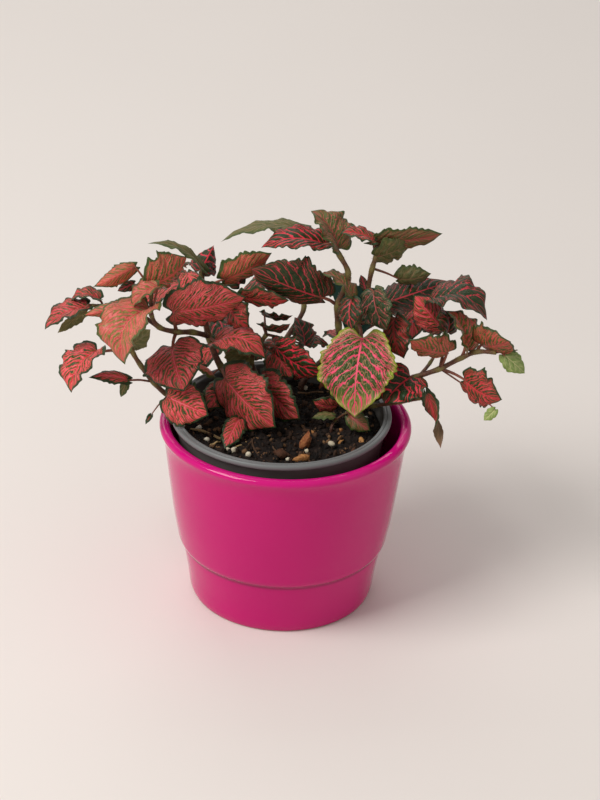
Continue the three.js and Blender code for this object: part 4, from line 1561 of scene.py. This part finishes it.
@dataclass
class Shoot:
    """One leafy stem with its branches."""

    name: str
    branches: list[Branch]
    slot: str
    first: int  # number of its first leaf among all leaves
    skins: list[Material]
    foot: float = 94.3  # height at which it ends in the soil
    foot_top: float = 3.0  # height of its upright foot over the soil
    sides: int = 14
    stalk_sides: int = 10
    stalk_radii: Pair = (0.42, 0.95)
    stalk_bend: float = 0.55  # share of its length at which it bends
    stalk_rise: float = 0.8  # height of the bend
    swelling: float = 0.28  # of a node, as a share of the radius
    taper: float = 0.6  # radius at the end, as a share of that at the start
    hair: float = 3.4  # hairs on each millimetre of a stem
    stalk_hair: float = 0.45  # the same on a stalk, as a share of that
    hair_from: float = 102.0  # height over which a stem has hairs
    hair_lengths: Pair = (0.7, 1.5)
    hair_radius: float = 0.055
    hair_sink: float = 0.12  # how deep a hair starts in the skin
    blades: list[Piece] = field(default_factory=list)

    def stem(self, shape: Shape, branch: Branch, nodes: Points, rooted: bool, seed: int) -> None:
        """Adds a branch's stem, thicker at its nodes.

        Args:
            shape: the shape that takes it.
            branch: the branch.
            nodes: its nodes.
            rooted: whether it comes out of the soil.
            seed: seed of its unevenness and hairs.
        """
        route = nodes
        if rooted:
            x, y, z = nodes[0]
            route = np.array([(x, y, self.foot), (x, y, (self.foot + z) / 2), *nodes])
        path = smooth_path(route, 9)
        along = length_along(path)
        share = along / along[-1]
        swollen = np.zeros(len(path))
        for node in nodes[1:]:
            gap = np.linalg.norm(path - node, axis=1)
            swollen = np.maximum(swollen, np.exp(-(gap / (1.5 * branch.radius)) ** 2))
        radii = branch.radius * (1 - (1 - self.taper) * share) * (1 + self.swelling * swollen)
        radii = radii * (1 + 0.05 * ripple(path, 3, seed))
        points, faces, outward = tube(path, radii, self.sides)
        shape.add(points, faces, 0, stem=tube_marks(self.sides, share * 0.3, swollen, 0.3))
        above = points[:, 2] > self.hair_from
        self.hairs(shape, points[above], outward[above], int(along[-1] * self.hair), seed)

    def hairs(self, shape: Shape, points: Points, outward: Points, count: int, seed: int) -> None:
        """Adds fine hairs to a stem.

        Args:
            shape: the shape that takes them.
            points: points of the stem's skin.
            outward: the directions that face away from it.
            count: how many hairs.
            seed: seed of the random draw.
        """
        draw = np.random.default_rng(seed + 300)
        pick = draw.integers(0, len(points), (2, count))[0]  # the other row is a spare
        grow = unit(outward[pick] + draw.normal(0, 0.28, (count, 3)))
        length = draw.uniform(*self.hair_lengths, (count, 1))
        one = unit(np.cross(grow, (0.4, 0.5, 0.77)))
        two = np.cross(grow, one)
        place = points[pick] + one * draw.uniform(-0.25, 0.25, (count, 1)) - grow * self.hair_sink
        ring = [place + (x * one + y * two) * self.hair_radius for x, y in circle(3)]
        corners = np.concatenate((*ring, place + grow * length))
        a, b, c, tip = np.arange(4 * count).reshape(4, count)
        faces = [np.stack(f, -1) for f in ((a, b, tip), (b, c, tip), (c, a, tip), (c, b, a))]
        shape.add(corners, faces, 1, stem=np.repeat((0, 0, 0, 1), count)[:, None])

    def stalk(self, shape: Shape, blade: Blade, node: Points, seed: int) -> None:
        """Adds a leaf's stalk, from inside the stem to under the blade's base.

        Args:
            shape: the shape that takes it.
            blade: the leaf's blade.
            node: the stem node it grows from.
            seed: seed of its unevenness and hairs.
        """
        reach = blade.surface(np.array([0.05, 0.11]), np.array([0.0, 0.0]))
        under = reach - blade.face * np.array([[0.5], [0.42]])
        bend = node + (blade.start - node) * self.stalk_bend + (0, 0, self.stalk_rise)
        path = smooth_path(np.array([node, bend, *under]), 8)
        along = length_along(path)
        share = along / along[-1]
        thick = np.clip(0.34 + 0.02 * blade.leaf.width, *self.stalk_radii)
        radii = thick * (1.18 - 0.5 * share) * (1 + 0.05 * ripple(path, 2, seed))
        radii[share > 0.93] *= 0.6
        points, faces, outward = tube(path, radii, self.stalk_sides)
        tone = np.random.default_rng(seed).uniform(0, 1)
        marks = tube_marks(self.stalk_sides, np.clip(share * 1.6, 0, 1), 0, tone)
        shape.add(points, faces, 0, stem=marks)
        length = np.linalg.norm(reach[0] - node)
        self.hairs(shape, points, outward, int(length * self.hair * self.stalk_hair), seed)

    def build(self, paints: dict[Kind, Material]) -> None:
        """Makes the stems and then each blade as its own piece.

        Args:
            paints: the materials of the leaves.
        """
        shape = Shape()
        order = self.first
        for number, branch in enumerate(self.branches):
            nodes = np.array(branch.route, float)
            if number == 0:
                nodes[0, 2] += self.foot_top
            self.stem(shape, branch, nodes, number == 0, 7 * order + 13)
            for row in branch.leaves:
                leaf = Leaf(*row)
                blade = Blade(leaf, order)
                self.stalk(shape, blade, nodes[leaf.node], 5 * order + 2)
                piece = blade.build(f"{self.name}_{leaf.name}", paints[leaf.kind])
                self.blades.append(dressed(piece, self.name))
                order += 1
        dressed(shape.piece(f"{self.name}_stems", self.skins), self.name)


STEM_SLOT = {
    "centre_shoot": "maroon_foliage", "low_right_shoot": "maroon_foliage",
    "sprig": "maroon_foliage", "tall_shoot": "dark_foliage",
    "back_centre_shoot": "dark_foliage", "tall_right_shoot": "lime_foliage",
}

SHOOTS = {
    "left_shoot": [
        Branch(2.1, [
            (-17, 25, 100), (-26, 24, 113), (-36, 20, 125), (-43, 20, 143),
            (-46, 22, 157), (-47, 26, 169), (-48, 30, 178),
        ], [
            ("front_big", 2, (-34, 8, 125), (-5, -17, 109), 36, 75, 0, 3, 13, RUBY),
            ("front_pair", 2, (-40, 17, 122), (-52, 8, 132), 9, -20, 0, 2, 30, PALE),
            ("small_droop", 1, (-25, -8, 109), (-32, -28, 101), 13, -15, 0, 2, 15, RUBY),
            ("shadow_left", 1, (-33, 18, 116), (-43, 6, 106), 17, -25, 0, 2, 12, MAROON),
            ("mid_red", 3, (-40, 14, 143), (-11, 0, 141), 25, 10, 0, 9, 2, RUBY),
            ("mid_olive", 4, (-33, 16, 167), (-21, 8, 156), 23, 95, 0, 3, 15, MAROON),
            ("mid_narrow", 4, (-25, 18, 169), (0, 12, 171), 18, 120, 0, 1, 12, MAROON),
            ("top_dark", 6, (-48, 27, 180), (-42, 42, 188), 26, 25, 0, 2, 56, VIVID),
            ("top_arch", 6, (-47, 24, 181), (-76, 18, 199), 13, -5, 20, 6, 0, UNDER),
            ("top_small", 5, (-27, 24, 174), (-38, 34, 182), 13, -45, 0, 2, 10, DARK),
            ("strip_top", 5, (-35, 16, 180), (-10, 22, 194), 22, 110, 0, 2, 23, AMBER),
        ]),
        Branch(1.6, [
            (-43, 20, 144), (-52, 14, 149), (-60, 8, 152), (-69, 3, 157),
            (-73, 0, 166), (-73, 0, 178),
        ], [
            ("big_red", 2, (-62, 3, 166), (-23, 8, 174), 32, 100, 0, 2, 20, RUBY),
            ("heart", 2, (-62, 1, 147), (-54, -24, 133), 35, 30, 0, 4, 4, RUBY),
            ("flecked", 5, (-74, 0, 183), (-55, 16, 193), 30, 100, 0, 4, 28, AMBER),
            ("small_pink", 4, (-69, -4, 184), (-82, -10, 174), 17, 0, 0, 3, -19, PALE),
            ("wavy_left", 5, (-81, 2, 193), (-103, -8, 185), 16, -60, 20, 5, 50, AMBER),
            ("pale_big", 4, (-73, -8, 173), (-85, -26, 149), 34, 10, 0, 12, -15, PALE),
        ]),
        Branch(1.3, [(-69, 3, 157), (-79, 4, 163), (-90, 4, 165), (-99, 4, 168), (-105, 2, 169)], [
            ("tiny_dark", 1, (-82, 4, 182), (-91, 0, 179), 6, -55, 0, 2, 10, DARK),
            ("horizontal", 2, (-82, -5, 174), (-109, -10, 169), 14, -70, 0, 3, 57, AMBER),
            ("far_left", 4, (-107, 0, 169), (-129, -8, 159), 20, 0, 0, 3, -11, RUBY),
            ("far_left_curl", 4, (-107, -3, 168), (-122, -10, 158), 7, 100, 20, 2, 20, UNDER),
            ("far_dark", 3, (-101, 5, 171), (-117, 6, 168), 14, 0, 0, 4, -15, MAROON),
        ]),
    ],
    "low_left_shoot": [
        Branch(1.8, [
            (-44, 19, 100), (-47, 17, 108), (-55, 10, 114), (-64, 5, 115),
            (-72, 4, 123), (-79, 1, 135), (-83, 0, 143), (-85, 0, 150),
        ], [
            ("rim_leaf", 3, (-64, -12, 123), (-41, -22, 118), 25, 55, 0, 2, 12, RUBY),
            ("dried", 3, (-72, -14, 113), (-75, -18, 109), 3, -30, 60, 1, 0, MAROON),
            ("strip_low", 4, (-85, -4, 128), (-106, -10, 132), 9, -35, 20, 4, 20, RUBY),
            ("tiny_olive", 4, (-86, -5, 128), (-89, -7, 119), 5, -45, 0, 0, 10, UNDER),
            ("low_red", 6, (-101, -6, 146), (-114, -22, 129), 28, 15, 0, 5, -13, RUBY),
            ("olive_fold", 7, (-86, 4, 145), (-74, 10, 152), 14, -150, 0, 3, 20, UNDER),
        ]),
    ],
    "centre_shoot": [
        Branch(1.8, [(-14, 32, 100), (-17, 30, 114), (-20, 28, 126), (-16, 24, 137), (-12, 24, 144)], [
            ("front_right", 0, (-14, 17, 120), (8, -5, 108), 26, 80, 0, 3, 6, RUBY),
            ("olive_mid", 2, (-21, 26, 129), (-35, 22, 130), 12, 90, 0, 3, 15, UNDER),
            ("bright_vein", 3, (-7, 24, 137), (20, 10, 129), 28, 105, 0, 4, 9, VIVID),
            ("under_dark", 3, (-8, 26, 132), (3, 14, 123), 19, 35, 0, 3, 12, MAROON),
            ("upper_lobe", 4, (9, 26, 137), (3, 34, 150), 19, 20, 0, 2, -6, DARK),
            ("edge_wave_a", 4, (-15, 26, 149), (1, 20, 153), 15, 140, 0, 3, 5, DARK),
            ("edge_wave_b", 4, (-14, 34, 152), (2, 30, 153), 15, 140, 0, 2, 5, DARK),
        ]),
    ],
    "tall_shoot": [
        Branch(2.0, [
            (28, 32, 100), (29, 28, 128), (27, 26, 150), (26, 24, 163),
            (30, 24, 175), (31, 24, 183), (26, 26, 192), (23, 28, 196),
        ], [
            ("near_black", 3, (18, 22, 168), (-21, 8, 191), 33, -110, 0, 2, 28, DARK),
            ("brown_green", 4, (33, 16, 171), (16, 22, 183), 20, 10, 0, 4, -9, OLIVE),
            ("dark_hang", 3, (33, 12, 173), (34, 4, 159), 17, 50, 0, 2, 5, DARK),
            ("olive_top", 7, (6, 42, 199), (-38, 36, 193), 19, 5, 15, 6, 5, UNDER),
            ("red_top", 7, (18, 28, 197), (-16, 26, 195), 22, -10, 0, 5, -7, VIVID),
            ("brown_top", 7, (25, 28, 195), (10, 38, 212), 28, 5, 0, 3, -17, OLIVE),
        ]),
    ],
    "tall_right_shoot": [
        Branch(2.0, [
            (34, 33, 100), (38, 34, 125), (38, 32, 148), (42, 30, 170),
            (44, 30, 183), (46, 32, 190),
        ], [
            ("top_right", 5, (43, 32, 198), (81, 34, 203), 18, 120, -30, 2, 12, OLIVE),
            ("top_centre", 5, (44, 26, 201), (26, 24, 206), 16, -5, 0, 2, -7, MAROON),
            ("olive_fan", 5, (46, 30, 190), (65, 36, 198), 22, 115, 0, 2, 10, UNDER),
            ("olive_right", 4, (58, 32, 176), (76, 30, 181), 16, 105, 0, 2, 30, UNDER),
            ("green_hang", 3, (45, 22, 173), (53, 12, 155), 22, 75, 0, 3, -2, FERN),
            ("tiny_up", 3, (41, 28, 171), (38, 32, 178), 5, -30, 0, 0, 10, DARK),
            ("dark_a", 3, (53, 28, 164), (87, 40, 172), 29, 60, 0, 3, 52, DARK),
            ("lime", 2, (40, 10, 151), (37, -15, 116), 43, 15, 0, 4, -4, LIME),
            ("maroon_mid", 2, (57, 22, 158), (63, 12, 138), 24, 80, 0, 3, 7, MAROON),
        ]),
    ],
    "right_shoot": [
        Branch(1.8, [
            (42, 20, 100), (56, 8, 120), (69, 4, 131), (82, 2, 138),
            (93, 0, 146), (101, -2, 151), (111, -4, 152),
        ], [
            ("dark_round", 2, (67, 4, 131), (53, -10, 122), 32, -10, 0, 3, -10, VIVID),
            ("orange_red", 3, (86, -2, 150), (64, -8, 160), 26, -125, 0, 3, 21, AMBER),
            ("small_up", 3, (85, 4, 159), (81, 12, 169), 21, 35, 0, 3, 5, DARK),
            ("right_low", 3, (95, -4, 135), (115, -16, 130), 26, 100, 0, 3, 15, MAROON),
            ("curved_a", 4, (95, 0, 151), (84, 10, 169), 26, 20, 0, 3, -19, AMBER),
            ("curved_b", 5, (103, 2, 153), (117, -16, 165), 29, 130, 0, 2, 23, AMBER),
            ("young_right", 6, (115, -4, 151), (127, -6, 141), 11, 60, 0, 2, 15, YOUNG),
            ("young_tip", 3, (112, -14, 123), (106, -16, 117), 6, -60, 0, 1, 10, YOUNG),
        ]),
        Branch(1.0, [(72, 4, 133), (77, 7, 139), (80, 10, 145), (77, 13, 153)], [
            ("bright_up", 3, (83, 12, 156), (66, 12, 177), 26, -70, 0, 3, 47, RUBY),
            ("dark_arch", 3, (76, 20, 166), (106, 8, 165), 34, 0, 0, 11, -9, DARK),
        ]),
    ],
    "low_right_shoot": [
        Branch(1.4, [(36, 6, 100), (39, 8, 107), (48, 2, 114), (61, -6, 121), (72, -10, 126)], [
            ("twisted_strip", 4, (75, -10, 129), (84, -18, 100), 9, 65, 300, -3, 5, MAROON),
            ("shadow_red", 1, (28, 10, 109), (14, 8, 113), 15, -115, 0, 2, 10, RUBY),
        ]),
    ],
    "sprig": [
        Branch(0.9, [(25, -4, 100), (27, 2, 104), (33, -3, 112)], [
            ("sprig_a", 2, (34, -4, 111), (46, -10, 105), 11, 55, 0, 2, 15, OLIVE),
            ("sprig_b", 1, (26, 0, 108), (14, 0, 106), 9, 0, 0, 2, 15, UNDER),
        ]),
    ],
    "back_left_shoot": [
        Branch(1.8, [(-30, 36, 100), (-34, 46, 122), (-42, 56, 140), (-52, 64, 152), (-60, 70, 158)], [
            ("back_left_1a", 1, (-40, 44, 124), (-63, 35, 112), 20, 0, 0, 3, 14, RUBY),
            ("back_left_2a", 2, (-44, 63, 142), (-54, 89, 126), 23, 0, 0, 4, 14, DARK),
            ("back_left_2b", 2, (-40, 49, 142), (-32, 27, 129), 20, 0, 0, 3, 14, DARK),
            ("back_left_3a", 3, (-58, 63, 154), (-85, 58, 141), 22, 0, 0, 4, 14, RUBY),
            ("back_left_4a", 4, (-62, 75, 160), (-71, 94, 145), 19, 0, 0, 3, 14, RUBY),
            ("back_left_4b", 4, (-58, 65, 160), (-50, 49, 147), 17, 0, 0, 3, 14, RUBY),
        ]),
    ],
    "back_centre_shoot": [
        Branch(1.8, [(-4, 42, 100), (-2, 54, 124), (8, 64, 142), (0, 76, 154)], [
            ("back_centre_1a", 1, (4, 58, 126), (23, 68, 116), 19, 0, 0, 3, 14, DARK),
            ("back_centre_1b", 1, (-8, 50, 126), (-24, 41, 118), 17, 0, 0, 2, 14, DARK),
            ("back_centre_2a", 2, (7, 70, 144), (5, 98, 128), 24, 0, 0, 4, 14, RUBY),
            ("back_centre_3a", 3, (6, 76, 156), (32, 76, 141), 22, 0, 0, 4, 14, DARK),
            ("back_centre_3b", 3, (-6, 76, 156), (-28, 76, 143), 19, 0, 0, 3, 14, DARK),
        ]),
    ],
    "back_right_shoot": [
        Branch(1.8, [(8, 44, 100), (28, 56, 122), (54, 62, 138), (70, 68, 146)], [
            ("back_right_1a", 1, (29, 62, 124), (34, 89, 111), 22, 0, 0, 4, 14, RUBY),
            ("back_right_2a", 2, (60, 63, 140), (87, 65, 127), 22, 0, 0, 4, 14, DARK),
            ("back_right_3a", 3, (71, 74, 148), (73, 100, 133), 22, 0, 0, 4, 14, RUBY),
            ("back_right_3b", 3, (69, 62, 148), (68, 40, 135), 19, 0, 0, 3, 14, RUBY),
        ]),
    ],
}


# ---- the studio

@dataclass
class Studio:
    """Pale floor, soft light and the camera."""

    floor_size: float = 6000.0
    floor_points: int = 9  # along each side
    aim: Triple = (0.0, 0.0, 0.12)  # where the lights point, in metres
    sky_colour: tuple[float, float, float, float] = (1.0, 0.98, 0.96, 1.0)
    sky_strength: float = 0.42
    lens: float = 108.0
    eye: Triple = (7.43, -1139.588, 738.345)  # where the camera stands, in millimetres
    right: Triple = (0.99946573, 0.01564315, 0.02869753)  # the picture's directions
    up: Triple = (-0.03268419, 0.47835953, 0.87755564)
    tilt: float = 28.595  # degrees by which the camera looks down

    def floor(self) -> None:
        """Lays the floor."""
        line = np.linspace(-self.floor_size / 2, self.floor_size / 2, self.floor_points)
        y, x = np.meshgrid(line, line, indexing="ij")
        shape = Shape()
        faces = grid_faces(self.floor_points, self.floor_points)
        shape.add(np.stack((x, y, np.zeros_like(x)), -1).reshape(-1, 3), [faces])
        shape.piece("pale_floor", [FloorFinish().material()])

    def lamp(self, name: str, place: Triple, size: float, power: float,
             colour: Triple) -> None:
        """Hangs a soft square light that faces the plant.

        Args:
            name: its name.
            place: where it hangs, in metres.
            size: its width in metres.
            power: its power in watts.
            colour: red, green and blue of its light, 0 to 1.
        """
        data = bpy.data.lights.new(name, "AREA")
        data.shape = "SQUARE"
        data.size = size
        data.energy = power
        data.color = colour
        lamp = bpy.data.objects.new(name, data)
        aim = Vector(self.aim) - Vector(place)
        lamp.rotation_euler = aim.to_track_quat("-Z", "Y").to_euler()
        lamp.location = place
        bpy.context.scene.collection.objects.link(lamp)

    def sky(self) -> None:
        """Fills the room with even, pale light."""
        world = bpy.data.worlds.new("pale_room")
        world.use_nodes = True
        backdrop = world.node_tree.nodes["Background"]
        backdrop.inputs["Color"].default_value = self.sky_colour
        backdrop.inputs["Strength"].default_value = self.sky_strength
        bpy.context.scene.world = world

    def camera(self) -> None:
        """Sets up the camera at the photograph's viewing angle."""
        data = bpy.data.cameras.new("camera")
        data.lens = self.lens
        data.sensor_width = 36
        data.clip_start, data.clip_end = 0.05, 20
        camera = bpy.data.objects.new("camera", data)
        tilt = math.radians(self.tilt)
        back = (0, -math.cos(tilt), math.sin(tilt))
        matrix = Matrix((self.right, self.up, back)).transposed().to_4x4()
        matrix.translation = [c * MM for c in self.eye]
        camera.matrix_world = matrix
        bpy.context.scene.collection.objects.link(camera)
        bpy.context.scene.camera = camera

    def build(self) -> None:
        """Sets up floor, lights and camera."""
        self.floor()
        self.lamp("key_light", (-1.1, -0.6, 1.5), 1.0, 26, (1.0, 0.985, 0.97))
        self.lamp("side_light", (1.6, -0.9, 0.8), 1.2, 1.2, (1.0, 0.97, 0.94))
        self.lamp("back_light", (-0.3, 1.6, 1.4), 1.4, 8, (1.0, 0.98, 0.97))
        self.sky()
        self.camera()
        bpy.context.scene.view_settings.view_transform = "Standard"


def main() -> None:
    """Builds the plant and its studio."""
    logging.basicConfig(level=logging.INFO, format="%(message)s")
    LOG.info("made %s", CoverPot().build().name)
    nursery = NurseryPot()
    LOG.info("made %s", nursery.build().name)
    soil = Soil(nursery)
    for piece in (soil.earth(), soil.loose(), soil.bits(), soil.roots()):
        LOG.info("made %s", piece.name)
    LOG.info("made %s", PlantLabel().build().name)
    paints = {kind: kind.value.material(f"leaf_{kind.name.lower()}") for kind in Kind}
    skins = [StemFinish().material(), HairFinish().material()]
    order = 0
    for name, branches in SHOOTS.items():
        shoot = Shoot(name, branches, STEM_SLOT.get(name, "ruby_foliage"), order, skins)
        shoot.build(paints)
        order += len(shoot.blades)
        LOG.info("made %s with %d leaves", name, len(shoot.blades))
    Studio().build()
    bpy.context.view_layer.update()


if __name__ == "__main__":
    main()
